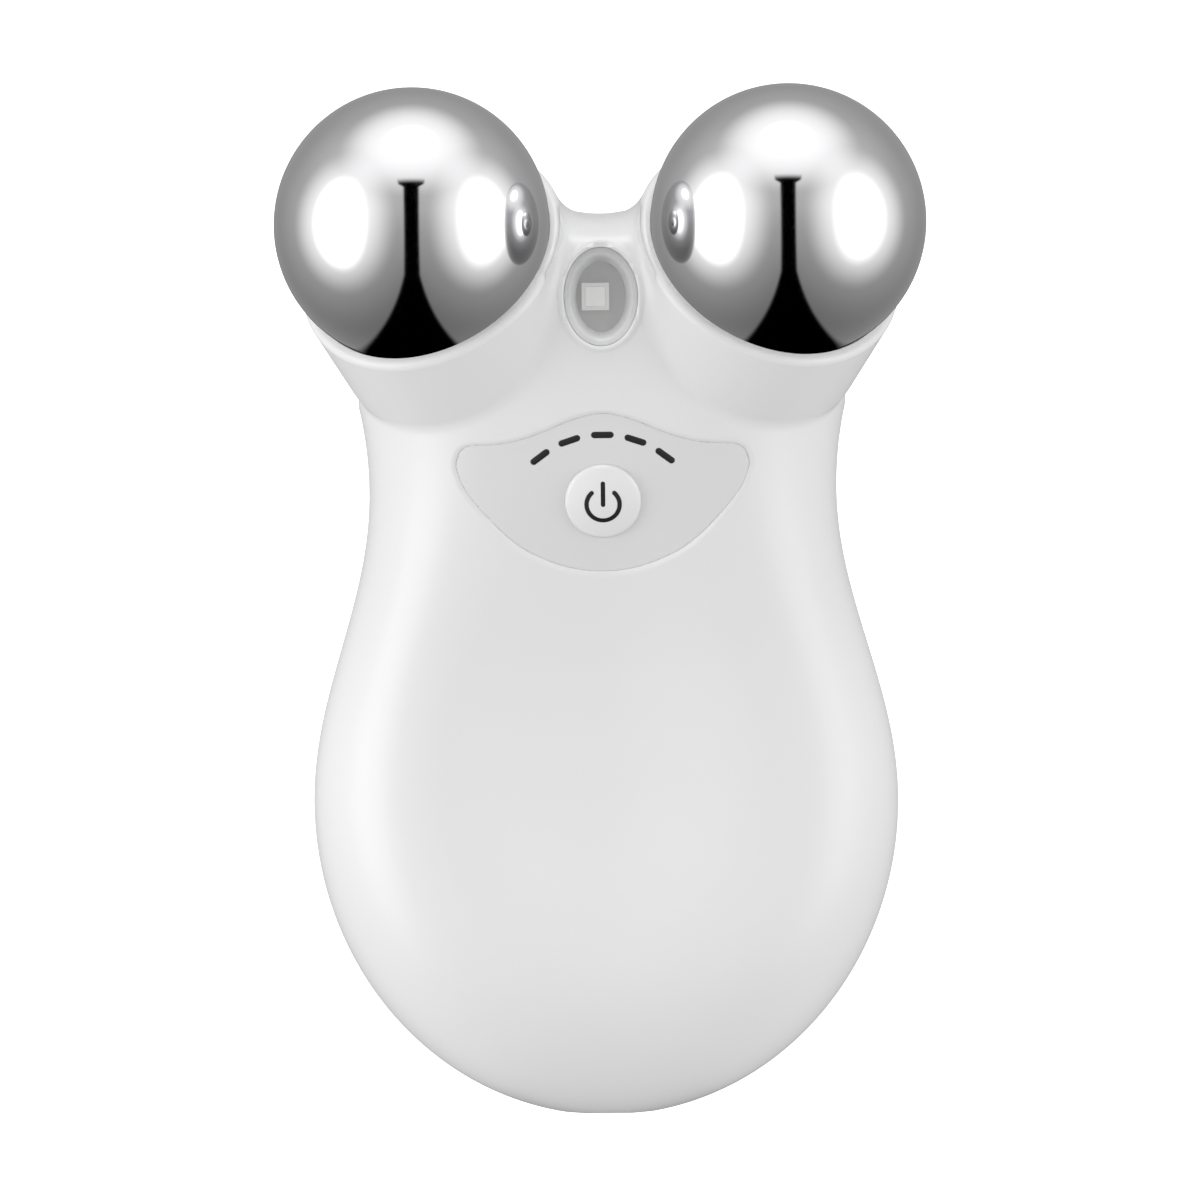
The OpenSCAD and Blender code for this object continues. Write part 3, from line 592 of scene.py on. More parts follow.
@dataclass(frozen=True)
class BodyForm:
    """The outer form of the body, as in the part's own source."""

    length: float = 112.0
    palm_w: float = 63.5
    palm_from_end: float = 34.3
    neck_w: float = 50.8
    neck_from_end: float = 68.0
    bridge_from_end: float = 98.3
    saddle_d: float = 2.0
    saddle_r: float = 8.6
    button_from_end: float = 66.7
    window_from_end: float = 89.0
    ridge_h: float = 27.0
    head_h: float = 34.5
    dish_d: float = 4.2
    dish_share: float = 0.85
    dish_from_end: float = 6.0
    dish_ease: float = 30.0
    dish_fade: float = 34.0
    part_h: float = 12.0
    seam_drop: float = 0.25
    top_square: float = 3.0
    top_round: float = 2.2
    back_square: float = 2.4
    part_slope: float = 0.055
    flat_cut: float = 0.6
    back_flat_end: float = 18.0
    back_rise: float = 0.0155
    neck_flare: float = 0.0125
    rise_start: float = -8.0
    rise_power: float = 1.6
    head_from_neck: float = 9.2
    head_round_from: float = 24.0

    @property
    def bottom_y(self) -> float:
        """Y of the palm end."""
        return -self.length / 2

    @property
    def palm_y(self) -> float:
        """Y of the widest place."""
        return self.bottom_y + self.palm_from_end

    @property
    def neck_y(self) -> float:
        """Y of the neck."""
        return self.bottom_y + self.neck_from_end

    @property
    def head_y(self) -> float:
        """Y from which the head rounds off."""
        return self.neck_y + self.head_from_neck

    @property
    def bridge_y(self) -> float:
        """Y of the edge between the balls."""
        return self.bottom_y + self.bridge_from_end

    @property
    def head_end(self) -> float:
        """Y of the end of the head, before the saddle is cut from it."""
        return self.bridge_y + self.saddle_d

    @property
    def saddle_y(self) -> float:
        """Y of the middle of the round hollow in the edge between the balls."""
        return self.bridge_y + self.saddle_r

    @property
    def button_y(self) -> float:
        """Y of the button."""
        return self.bottom_y + self.button_from_end

    @property
    def window_y(self) -> float:
        """Y of the window."""
        return self.bottom_y + self.window_from_end

    def part_z(self, y: np.ndarray) -> np.ndarray:
        """Height of the widest line."""
        return self.part_h + self.part_slope * y

    def half_w(self, y: np.ndarray, inset: float = 0.0) -> np.ndarray:
        """Half width of the body at y, drawn in by inset.

        Args:
            y: Places along the body.
            inset: How far the form is drawn in.

        Returns:
            The half widths.
        """
        palm, neck = self.palm_w / 2 - inset, self.neck_w / 2 - inset
        foot = palm * over((self.palm_y - y) / (self.palm_from_end - inset), 2, 2)
        turn = np.pi * (y - self.palm_y) / (self.neck_y - self.palm_y)
        waist = neck + (palm - neck) * (1 + np.cos(turn)) / 2
        flare = neck + self.neck_flare * (np.minimum(y, self.head_y) - self.neck_y) ** 2
        reach = self.head_end - inset - self.head_y
        head = flare * over((y - self.head_y) / reach, 3.2, 2.2)
        return np.where(y <= self.palm_y, foot, np.where(y <= self.neck_y, waist, head))

    def end_round(self, y: np.ndarray, inset: float = 0.0) -> np.ndarray:
        """How far the ends draw the section in towards the parting plane.

        Args:
            y: Places along the body.
            inset: How far the form is drawn in.

        Returns:
            Shares of the full height, from 0 to 1.
        """
        foot = over((self.palm_y - y) / (self.palm_from_end - inset), 3, 2)
        reach = self.head_end - inset - self.head_round_from
        head = over((y - self.head_round_from) / reach, 4.5, 2.3)
        return np.where(y <= self.palm_y, foot, head)

    def ridge_z(self, y: np.ndarray) -> np.ndarray:
        """Height of the crest of the section at y."""
        rise = np.maximum(0, (y - self.rise_start) / (self.window_y - self.rise_start))
        return self.ridge_h + (self.head_h - self.ridge_h) * rise ** self.rise_power

    def back_z(self, y: np.ndarray) -> np.ndarray:
        """Height of the back at y."""
        return self.back_rise * np.maximum(0, y - self.back_flat_end) ** 2 - self.flat_cut

    def dish(self, x: np.ndarray, y: np.ndarray) -> np.ndarray:
        """Depth of the thumb dish.

        Args:
            x: Places across the body.
            y: Places along it.

        Returns:
            How far the skin lies below the form without its dish.
        """
        u = np.minimum(1, np.abs(x) / (self.dish_share * self.half_w(y) + 0.01))
        rise = smooth((y - self.bottom_y - self.dish_from_end) / self.dish_ease)
        fall = smooth((self.back_flat_end - y) / self.dish_fade)
        return self.dish_d * (rise * fall) * (1 - u * u) ** 2

    def top_h(self, y: np.ndarray, inset: float = 0.0) -> np.ndarray:
        """Height of the section above the widest line."""
        return (self.ridge_z(y) - inset - self.part_z(y)) * self.end_round(y, inset)

    def back_h(self, y: np.ndarray, inset: float = 0.0) -> np.ndarray:
        """Depth of the section below the widest line."""
        return (self.part_z(y) - self.back_z(y) - inset) * self.end_round(y, inset)

    def skin_z(self, x: np.ndarray, y: np.ndarray) -> np.ndarray:
        """Height of the outer surface on the button side."""
        up = over(np.abs(x) / np.maximum(self.half_w(y), 1e-6), self.top_square, self.top_round)
        return self.part_z(y) + self.top_h(y) * up - self.dish(x, y)

    def section(self, y: float, count: int, inset: float) -> np.ndarray:
        """Closed section of the body, evenly spaced along its own length.

        Args:
            y: Place along the body.
            count: Points in the section.
            inset: How far the section is drawn in.

        Returns:
            (count, 3) points, from the +X side over the top and back under.
        """
        a = np.linspace(0, np.pi, 1201)
        c, s = np.cos(a), np.sin(a)
        w, h = self.half_w(y, inset), self.top_h(y, inset)
        d, p = self.back_h(y, inset), self.part_z(y)
        top_x = w * np.sign(c) * np.abs(c) ** (2 / self.top_square)
        top_z = p + h * s ** (2 / self.top_round) - self.dish(top_x, y) * (s > 1e-9)
        back_x = -w * np.sign(c) * np.abs(c) ** (2 / self.back_square)
        back_z = p - d * s ** (2 / self.back_square)
        x, z = np.concatenate([top_x, back_x]), np.concatenate([top_z, back_z])
        run = np.concatenate([[0], np.cumsum(np.hypot(np.diff(x), np.diff(z)))])
        at = np.linspace(0, run[-1], count, endpoint=False)
        return np.column_stack([np.interp(at, run, x), np.full(count, y),
                                np.interp(at, run, z)])

    def solid(self, name: str, segments: int, rings: int, inset: float = 0.0) -> Thing:
        """The whole form, fitted from a ball with its poles at the two ends.

        Args:
            name: Name of the new object.
            segments: Faces round the body.
            rings: Faces along it.
            inset: How far the form is drawn in.

        Returns:
            The new object.
        """
        obj = Bench.ball(name, segments, rings, pole="Y")
        unit = Bench.coords(obj)
        low, high = self.bottom_y + inset, self.head_end - inset
        lat = np.round(np.arcsin(np.clip(unit[:, 1], -1, 1)) * rings / np.pi).astype(int)
        lon = np.round(np.arctan2(unit[:, 2], unit[:, 0]) * segments / (2 * np.pi))
        lon = lon.astype(int) % segments
        out = np.empty_like(unit)
        for step in np.unique(lat):
            picked = lat == step
            y = (low + high) / 2 + (high - low) / 2 * math.sin(step * math.pi / rings)
            if abs(step) == rings // 2:
                out[picked] = (0, y, self.part_z(y))
            else:
                out[picked] = self.section(y, segments, inset)[lon[picked]]
        Bench.place(obj, out)
        return obj

    def level(self, p: np.ndarray) -> np.ndarray:
        """Reads below 0 inside the form, 0 on it and above 0 outside.

        Args:
            p: (n, 3) points.

        Returns:
            One reading for each point.
        """
        x, y, z = p.T
        up = z + self.dish(x, y) - self.part_z(y)
        w = np.maximum(self.half_w(y), 1e-3)
        top = (np.abs(x) / w) ** self.top_square + (
            np.abs(up) / np.maximum(self.top_h(y), 1e-3)) ** self.top_round
        down = (np.abs(x) / w) ** self.back_square + (
            np.abs(self.part_z(y) - z) / np.maximum(self.back_h(y), 1e-3)) ** self.back_square
        return np.where(up >= 0, top, down) ** (1 / self.back_square) - 1


@dataclass(frozen=True)
class BallSeat:
    """One ball, with the frame of its axis and the sizes of its collar."""

    side: int
    ball_d: float = 30.0
    far_y: float = 56.0
    spread: float = 41.0
    height: float = 31.5
    splay: float = 31.0
    tilt: float = 45.0
    collar_d: float = 30.4
    rim_drop: float = 5.5
    collar_end: float = 19.0
    collar_foot: float = 6.0
    foot_soft: float = 1.5
    slim: float = 0.3
    ball_gap: float = 0.1
    overrun: float = 1.5
    rim_gap: float = 0.03
    rim_t: float = 1.0
    rim_soft: float = 0.8
    seat_cut: float = 0.6
    cup_wall: float = 2.0

    @property
    def matrix(self) -> Matrix:
        """Placing matrix: the ball's centre, with Z out of the collar."""
        spot = Vector((self.side * self.spread / 2, self.far_y - self.ball_d / 2, self.height))
        turn = Matrix.Rotation(math.radians(-self.side * self.splay), 4, "Z")
        rise = Matrix.Rotation(math.radians(self.tilt - 90), 4, "X")
        return Matrix.Translation(spot) @ turn @ rise

    @property
    def slope(self) -> float:
        """Growth of the collar's radius along its axis."""
        return self.slim / (self.collar_end - self.rim_drop)

    @property
    def socket_r(self) -> float:
        """Radius of the socket."""
        return self.ball_d / 2 + self.ball_gap

    def collar_r(self, z: float) -> float:
        """Radius of the collar at z on the ball's axis."""
        return self.collar_d / 2 + self.slope * (z + self.rim_drop)

    def collar(self) -> Thing:
        """The collar as a plain solid, a little longer than its rim.

        Returns:
            The new object.
        """
        top, end = self.overrun - self.rim_drop, -self.collar_end
        profile = [(0, end - self.collar_foot),
                   (self.collar_r(end) - self.collar_foot, end - self.collar_foot),
                   (self.collar_r(end), end), (self.collar_r(top), top), (0, top)]
        return Bench.lathe("collar", profile, 128, self.matrix)

    def distance(self, p: np.ndarray) -> tuple[np.ndarray, np.ndarray]:
        """Signed distance to the collar and the way it grows.

        Args:
            p: (n, 3) points.

        Returns:
            The distances and one unit direction for each point.
        """
        m = np.array(self.matrix)
        q = (p - m[:3, 3]) @ m[:3, :3]
        rho = np.maximum(np.hypot(q[:, 0], q[:, 1]), 1e-6)
        lean = 1 / math.hypot(1, self.slope)
        round_way = q[:, :2] / rho[:, None]
        side = (rho - self.collar_d / 2 - self.slope * (q[:, 2] + self.rim_drop)) * lean
        side_way = np.column_stack([round_way, np.full(len(q), -self.slope)]) * lean
        root = math.sqrt(0.5)
        bevel = (rho - self.collar_r(-self.collar_end) - q[:, 2] - self.collar_end) * root
        bevel_way = np.column_stack([round_way, np.full(len(q), -1.0)]) * root
        value, way, _ = eased_most(side, side_way, bevel, bevel_way, self.foot_soft)
        top = q[:, 2] - (self.overrun - self.rim_drop)
        base = -self.collar_end - self.collar_foot - q[:, 2]
        way[(top > value) & (top > base)] = (0, 0, 1)
        way[(base > value) & (base >= top)] = (0, 0, -1)
        return np.maximum(np.maximum(value, top), base), way @ m[:3, :3].T

    def arc(self, radius: float, low: float, high: float, steps: int) -> list[tuple[float, float]]:
        """Points of a ball's outline between two heights on its axis.

        Args:
            radius: Radius of the ball.
            low: Height of the first point.
            high: Height of the last point.
            steps: Stretches between the points.

        Returns:
            (radius, height) points.
        """
        a, b = math.asin(low / radius), math.asin(high / radius)
        turns = [a + (b - a) * i / steps for i in range(steps + 1)]
        return [(radius * math.cos(turn), radius * math.sin(turn)) for turn in turns]

    def socket_tool(self) -> Thing:
        """What is cut out of the skin for the ball and for the rim.

        Returns:
            The new object.
        """
        ledge = -self.rim_drop - self.rim_t
        seat = self.seat_cut - self.ball_d / 2
        top, out, clear, high = -self.rim_drop, self.collar_d / 2 + 1, 0.01, 12
        profile = [(0, seat), *self.arc(self.socket_r, seat, ledge, 24),
                   (self.collar_r(ledge) + clear, ledge), (self.collar_r(top) + clear, top),
                   (out, top), (out, high), (0, high)]
        return Bench.lathe("socket_tool", profile, 256, self.matrix)

    def rim(self) -> Thing:
        """The edge of the collar, with its rounded lip.

        Returns:
            The new object.
        """
        ledge, top, soft = -self.rim_drop - self.rim_t, -self.rim_drop, self.rim_soft
        near = self.ball_d / 2 + self.rim_gap
        inner = math.sqrt(near ** 2 - top ** 2)
        lip = [(self.collar_r(top) - soft + soft * math.cos(a), top - soft + soft * math.sin(a))
               for a in np.linspace(0, math.pi / 2, 7)]
        profile = [(math.sqrt(near ** 2 - ledge ** 2), ledge),
                   (self.collar_r(ledge), ledge), *lip,
                   (inner + 0.06, top), (inner + 0.01, top - 0.05)]
        return Bench.lathe("rim", profile, 192, self.matrix)


@dataclass(frozen=True)
class Shield:
    """Outline of the control panel and the frame that it lies in."""

    form: BodyForm
    width: float = 31.9
    up: float = 9.8
    down: float = 8.0
    depth: float = 3.0
    gap: float = 0.03
    sink: float = 0.26
    clear: float = 9.0
    zone: tuple[float, float, float] = (18.0, 12.0, 6.0)
    half: tuple[tuple[float, float], ...] = (
        (0, 1), (0.11, 0.975), (0.245, 0.905), (0.39, 0.8), (0.53, 0.713), (0.67, 0.653),
        (0.81, 0.62), (0.905, 0.6), (0.965, 0.54), (0.992, 0.447), (1, 0.36), (0.985, 0.27),
        (0.948, 0.125), (0.853, -0.095), (0.77, -0.27), (0.69, -0.433), (0.61, -0.57),
        (0.525, -0.69), (0.43, -0.79), (0.32, -0.885), (0.2, -0.955), (0.1, -0.99), (0, -1))

    @property
    def tilt(self) -> float:
        """Slope of the skin at the button, in radians."""
        y = self.form.button_y
        rise = self.form.skin_z(0.0, y + 4) - self.form.skin_z(0.0, y - 4)
        return math.atan(float(rise) / 8)

    @property
    def matrix(self) -> Matrix:
        """Placing matrix: the skin at the button, with Z out of it."""
        spot = Vector((0, self.form.button_y, float(self.form.skin_z(0.0, self.form.button_y))))
        return Matrix.Translation(spot) @ Matrix.Rotation(self.tilt, 4, "X")

    def outline(self, grow: float, steps: int = 5) -> np.ndarray:
        """Smooth outline of the panel, grown by a gap."""
        half = [(x * (self.width / 2 + grow), y * ((self.up if y > 0 else self.down) + grow))
                for x, y in self.half]
        return splined(half + [(-x, y) for x, y in half[-2:0:-1]], steps)

    def local(self, p: np.ndarray) -> np.ndarray:
        """Points in the frame of the panel."""
        m = np.array(self.matrix)
        return (p - m[:3, 3]) @ m[:3, :3]

    def edge_distance(self, p: np.ndarray) -> np.ndarray:
        """Distance outside the panel's edge, seen square to the panel; below 0 on the panel.

        Args:
            p: (n, 3) points.

        Returns:
            One distance for each point, 99 where the panel is far off.
        """
        q = self.local(p)
        out = np.full(len(q), 99.0)
        near = (np.abs(q) < self.zone).all(axis=1)
        a = self.outline(self.gap / 2)
        b = np.roll(a, -1, axis=0)
        v = q[near][:, None, :2] - a[None]
        t = np.clip((v * (b - a)).sum(2) / ((b - a) ** 2).sum(1), 0, 1)
        gap = np.linalg.norm(v - t[..., None] * (b - a), axis=2).min(1)
        spot, (ax, ay), (bx, by) = q[near], a.T, b.T
        level = (ay > spot[:, 1:2]) != (by > spot[:, 1:2])
        rise = np.where(np.abs(by - ay) < 1e-9, 1e-9, by - ay)
        cross = spot[:, :1] < ax + (bx - ax) * (spot[:, 1:2] - ay) / rise
        within = (level & cross).sum(1) % 2 == 1
        out[near] = np.where(within, -gap, gap)
        return out

    def surface(self, x: np.ndarray, y: np.ndarray) -> np.ndarray:
        """Height of the sunk panel over its own plane, at x and y in that plane.

        Args:
            x: Places across the panel.
            y: Places along it.

        Returns:
            The heights.
        """
        m = np.array(self.matrix)
        z = np.zeros_like(x)
        for _ in range(8):
            world = np.column_stack([x, y, z]) @ m[:3, :3].T + m[:3, 3]
            z = z + (self.form.skin_z(world[:, 0], world[:, 1]) - world[:, 2]) * math.cos(self.tilt)
        return z - self.sink


@dataclass(frozen=True)
class Window:
    """The oval window over the light."""

    form: BodyForm
    width: float = 8.1
    length: float = 10.8
    lens_t: float = 1.2
    sink: float = 0.1
    dip: float = 0.3
    depth: float = 5.0
    lip: float = 0.3
    lip_w: float = 1.0
    board_t: float = 0.8

    @property
    def top(self) -> float:
        """Height of the skin at the window."""
        return float(self.form.skin_z(0.0, self.form.window_y))

    @property
    def floor(self) -> float:
        """Height of the light board."""
        return self.top - self.depth

    @property
    def under(self) -> float:
        """Height of the underside of the lens."""
        return self.top - self.sink - self.lens_t - self.dip

    def oval(self, grow: float, steps: int = 144) -> np.ndarray:
        """Outline of the window, grown by a gap."""
        a = np.linspace(0, 2 * np.pi, steps, endpoint=False)
        return np.column_stack([(self.width / 2 + grow) * np.cos(a),
                                self.form.window_y + (self.length / 2 + grow) * np.sin(a)])

    def edge_distance(self, p: np.ndarray) -> np.ndarray:
        """Distance of each point outside the window's edge, in plan.

        Args:
            p: (n, 3) points.

        Returns:
            One distance for each point, 99 on the back.
        """
        a, b = self.width / 2, self.length / 2
        x, y = p[:, 0], p[:, 1] - self.form.window_y
        q = np.maximum(np.hypot(x / a, y / b), 1e-6)
        d = (q - 1) * q / np.maximum(np.hypot(x / a ** 2, y / b ** 2), 1e-6)
        return np.where(p[:, 2] > self.form.part_h, d, 99.0)


@dataclass
class Housing:
    """The two white shells: body, collars, panel pocket and window well."""

    form: BodyForm
    seats: tuple[BallSeat, BallSeat]
    shield: Shield
    window: Window
    guide_steps: tuple[int, int] = (448, 360)
    hollow_steps: tuple[int, int] = (96, 72)
    voxel: float = 0.55
    mark: float = 1.3
    crease: float = 0.5
    blend: float = 1.6
    saddle_blend: float = 4.0
    wall: float = 2.0
    pocket_wall: float = 1.4
    well_wall: float = 1.3
    foot_soft: float = 0.8
    bridge_soft: float = 1.2
    foot_clear: float = 0.19
    seam_band: float = 0.8
    edge_w: float = 0.58
    edge_d: float = 0.36
    seam_w: float = 0.3
    seam_d: float = 0.22
    posts: tuple[tuple[float, float], ...] = ((-22.5, -24), (22.5, -24), (-19.1, 12), (19.1, 12))
    post_r: float = 3.2
    recess_r: float = 2.4
    head_z: float = 5.0
    inlet_w: float = 9.24
    inlet_h: float = 3.56
    tree: BVHTree = field(default=None, repr=False)

    def field_at(self, p: np.ndarray) -> tuple[np.ndarray, np.ndarray, np.ndarray]:
        """Signed distance to the blended skin.

        Args:
            p: (n, 3) points.

        Returns:
            The distances, the directions in which they grow, and how much of each comes
            from the body alone (1 where no collar is near).
        """
        near = [self.tree.find_nearest(q) for q in p.tolist()]
        spot = np.array([n[0][:] for n in near])
        normal = np.array([n[1][:] for n in near])
        delta = p - spot
        dist = np.linalg.norm(delta, axis=1)
        sign = np.where((delta * normal).sum(1) < 0, -1.0, 1.0)
        way = np.where((dist > 0.02)[:, None], delta * (sign / np.maximum(dist, 1e-9))[:, None],
                       normal)
        flat = p[:, :2] - (0, self.form.saddle_y)
        rho = np.maximum(np.linalg.norm(flat, axis=1), 1e-6)
        inward = np.column_stack([-flat / rho[:, None], np.zeros(len(p))])
        value, way, own = eased_most(dist * sign, way, self.form.saddle_r - rho, inward,
                                     self.saddle_blend)
        back = smooth((self.form.part_h + 2 - p[:, 2]) / 6)
        high = smooth((p[:, 1] - 24) / 10)
        blend = self.crease + (self.blend - self.crease) * np.maximum(back, high)
        for seat in self.seats:
            other, other_way = seat.distance(p)
            h = np.clip(0.5 + 0.5 * (other - value) / blend, 0, 1)
            own = own * np.clip(0.5 + 0.5 * (other - value) / self.mark, 0, 1)
            value = other * (1 - h) + value * h - blend * h * (1 - h)
            way = other_way * (1 - h)[:, None] + way * h[:, None]
        return value, way, own

    def settle(self, p: np.ndarray, rounds: int) -> tuple[np.ndarray, np.ndarray, np.ndarray]:
        """Moves points onto the blended skin.

        Args:
            p: (n, 3) points close to the skin.
            rounds: Steps taken towards it.

        Returns:
            The points, the skin's normals there and the body's share of each.
        """
        for _ in range(rounds):
            value, way, own = self.field_at(p)
            size = np.maximum((way ** 2).sum(1), 0.2)
            p = p - (value / size)[:, None] * way
        low, high = self.form.bottom_y + self.foot_soft, self.form.bridge_y - self.bridge_soft
        alone = (own > 0.999) & (p[:, 1] > low) & (p[:, 1] < high)
        q, step = p[alone], 1e-3
        for _ in range(2):
            slope = np.column_stack([
                (self.form.level(q + step * e) - self.form.level(q - step * e)) / (2 * step)
                for e in np.eye(3)])
            size = np.maximum((slope ** 2).sum(1), 1e-9)
            q = q - (self.form.level(q) / size)[:, None] * slope
        p = p.copy()
        p[alone] = q
        way[alone] = slope
        return p, way / np.linalg.norm(way, axis=1)[:, None], own

    def seam_distance(self, p: np.ndarray) -> np.ndarray:
        """Distance of points above the parting plane."""
        z = p[:, 2] - self.form.part_h + self.form.seam_drop - self.form.part_slope * p[:, 1]
        return z / math.hypot(1, self.form.part_slope)

    def relief(self, p: np.ndarray) -> np.ndarray:
        """Height of the fine detail over the smooth skin at each point.

        Args:
            p: (n, 3) points on the smooth skin.

        Returns:
            The heights, below 0 where the detail is cut in.
        """
        edge = self.shield.edge_distance(p)
        fall = (1 - np.clip(edge / self.edge_w, 0, 1)) ** 2
        out = np.where(edge < 0, -self.shield.sink, -self.edge_d * fall)
        seam = np.clip(np.abs(self.seam_distance(p)) / self.seam_w, 0, 1)
        out -= self.seam_d * (0.5 + 0.5 * np.cos(np.pi * seam))
        lip = np.clip((self.window.edge_distance(p) + 0.25) / self.window.lip_w, 0, 1)
        return out + self.window.lip * np.sin(np.pi * lip) ** 1.5

    def skin(self) -> Thing:
        """The whole outer skin with its relief, as one closed solid.

        Returns:
            The new object, in millimetres.
        """
        guide = self.form.solid("guide", *self.guide_steps)
        mesh = guide.data
        self.tree = BVHTree.FromPolygons(
            [v.co[:] for v in mesh.vertices], [f.vertices[:] for f in mesh.polygons])
        column = Bench.disc(0, self.form.saddle_y, self.form.saddle_r, 96)
        Bench.cut(guide, Bench.prism("saddle", column, BELOW, ABOVE))
        skin = Bench.join([guide, *(seat.collar() for seat in self.seats)])
        remesh = skin.modifiers.new("remesh", "REMESH")
        remesh.mode = "VOXEL"
        remesh.voxel_size = self.voxel
        Bench.apply(skin, remesh)
        log.info("skin: %d faces from the voxels", len(skin.data.polygons))
        p, _, _ = self.settle(Bench.coords(skin), 3)
        Bench.place(skin, p)
        Bench.refine(skin, np.abs(self.seam_distance(p)) < self.seam_band, 2)
        _, _, own = self.settle(Bench.coords(skin), 1)
        Bench.refine(skin, (own > 0.004) & (own < 0.996), 1)
        p = Bench.coords(skin)
        fine = (np.abs(self.shield.edge_distance(p) - 0.15) < 0.85) | (
            np.abs(self.window.edge_distance(p) - 0.4) < 1.4)
        Bench.refine(skin, fine, 3)
        p, normal, _ = self.settle(Bench.coords(skin), 2)
        p = p + self.relief(p)[:, None] * normal
        p[:, 1] = np.maximum(p[:, 1], self.form.bottom_y + self.foot_clear)
        Bench.place(skin, p)
        log.info("skin: %d faces with its detail", len(skin.data.polygons))
        return skin

    def cavity(self) -> Thing:
        """The hollow inside both shells, with cups, posts and wells left standing.

        Returns:
            The new object.
        """
        hollow = self.form.solid("hollow", *self.hollow_steps, self.wall)
        for seat in self.seats:
            radius, top = seat.socket_r + seat.cup_wall, -5.0
            cup = [(0, -radius), *seat.arc(radius, 1e-3 - radius, top, 16), (0, top)]
            Bench.cut(hollow, Bench.lathe("cup", cup, 48, seat.matrix))
        block = self.shield.outline(self.pocket_wall, 2)
        Bench.cut(hollow, Bench.prism("block", block, -5, self.shield.clear, self.shield.matrix))
        Bench.cut(hollow, self._well(self.window.oval(self.well_wall, 48)))
        columns = [(x, y, self.post_r) for x, y in self.posts]
        columns.append((0, self.form.saddle_y, self.form.saddle_r + self.wall))
        for x, y, radius in columns:
            Bench.cut(hollow, Bench.prism("post", Bench.disc(x, y, radius, 48), BELOW, ABOVE))
        return hollow

    def _well(self, outline: np.ndarray) -> Thing:
        """An upright tool on an outline, from under the light board upwards."""
        return Bench.prism("well", outline, self.window.floor - self.window.board_t, ABOVE)

    def inlet_tool(self) -> Thing:
        """The round-ended way in for the charging plug.

        Returns:
            The new object.
        """
        r = self.inlet_h / 2
        a = np.linspace(-np.pi / 2, np.pi / 2, 17)
        end = np.column_stack([self.inlet_w / 2 - r + r * np.cos(a), r * np.sin(a)])
        turn = Matrix.Rotation(math.pi / 2, 4, "X")
        spot = Matrix.Translation((0, self.form.bottom_y, float(self.form.part_z(self.form.bottom_y))))
        return Bench.prism("inlet", np.concatenate([end, -end]), -8.5, 3, spot @ turn)

    def build(self, white: bpy.types.Material) -> Thing:
        """Makes both shells, and the skin that the panel is cut from.

        Args:
            white: The shells' finish.

        Returns:
            The uncut skin.
        """
        skin = self.skin()
        front = Bench.copy(skin, "front_shell_skin")
        for seat in self.seats:
            Bench.cut(front, seat.socket_tool())
        Bench.cut(front, Bench.prism("pocket", self.shield.outline(self.shield.gap),
                                     -self.shield.depth, self.shield.clear, self.shield.matrix))
        Bench.cut(front, self._well(self.window.oval(0.0)))
        Bench.cut(front, self.inlet_tool())
        Bench.cut(front, self.cavity())
        for x, y in self.posts:
            Bench.cut(front, Bench.prism("recess", Bench.disc(x, y, self.recess_r, 48),
                                         BELOW, self.head_z))
        rear = Bench.copy(front, "rear_shell_skin")
        plane = Matrix.Translation((0, 0, self.form.part_h - self.form.seam_drop)) @ \
            Matrix.Rotation(math.atan(self.form.part_slope), 4, "X")
        square = FAR * SQUARE
        Bench.cut(front, Bench.prism("above", square, 0, HIGH, plane), "INTERSECT")
        Bench.cut(rear, Bench.prism("below", square, -HIGH, 0, plane), "INTERSECT")
        Bench.cut(rear, Bench.prism("table", square, 0, HIGH), "INTERSECT")
        front = Bench.join([front, *(seat.rim() for seat in self.seats)])
        for obj, node in ((front, "front_shell"), (rear, "rear_shell")):
            Bench.finish(obj, 32)
            Dresser.put(obj, white, "device", "shell_white", node)
        return skin


class Dresser:
    """Gives finished pieces and carried-over nodes their finish and their body."""

    @staticmethod
    def put(obj: Thing, mat: bpy.types.Material, body: str, slot: str, *nodes: str) -> Thing:
        """Dresses one finished piece.

        Args:
            obj: The piece.
            mat: Its finish.
            body: The body it moves with.
            slot: The record's slot for its finish.
            nodes: The nodes that it stands for.

        Returns:
            The piece.
        """
        obj.data.materials.clear()
        obj.data.materials.append(mat)
        obj.visible_glossy = slot == "ball_metal"
        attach(obj, body)
        if nodes:
            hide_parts(*nodes)
        log.info("%s: %d faces, rides on %s, stands for %s", obj.name,
                 len(obj.data.polygons), body, ", ".join(nodes) or "no node")
        return obj

    @staticmethod
    def keep(node: str, mat: bpy.types.Material) -> None:
        """Gives a carried-over node its finish.

        Args:
            node: Name of the node.
            mat: Its finish.
        """
        obj = frame["nodes"][node]
        obj.data.materials.clear()
        obj.data.materials.append(mat)
        obj.visible_glossy = False
        log.info("%s: kept, %s", node, mat.name)


@dataclass
class BallPair:
    """The two plated balls."""

    seats: tuple[BallSeat, BallSeat]
    screw_r: float = 1.25

    def build(self, mirror: bpy.types.Material) -> None:
        """Makes each ball with its flat seat and screw hole.

        Args:
            mirror: The balls' finish.
        """
        for seat, name in zip(self.seats, ("left_ball", "right_ball")):
            r, low = seat.ball_d / 2 - 0.001, seat.seat_cut - seat.ball_d / 2
            profile = [(0, -7.5), (self.screw_r, -7.5), (self.screw_r, low),
                       *seat.arc(r, low, r - 1e-4, 96)[:-1], (0, r)]
            obj = Bench.lathe(f"{name}_plated", profile, 192, seat.matrix)
            Bench.finish(obj, 40)
            Dresser.put(obj, mirror, "device", "ball_metal", name)


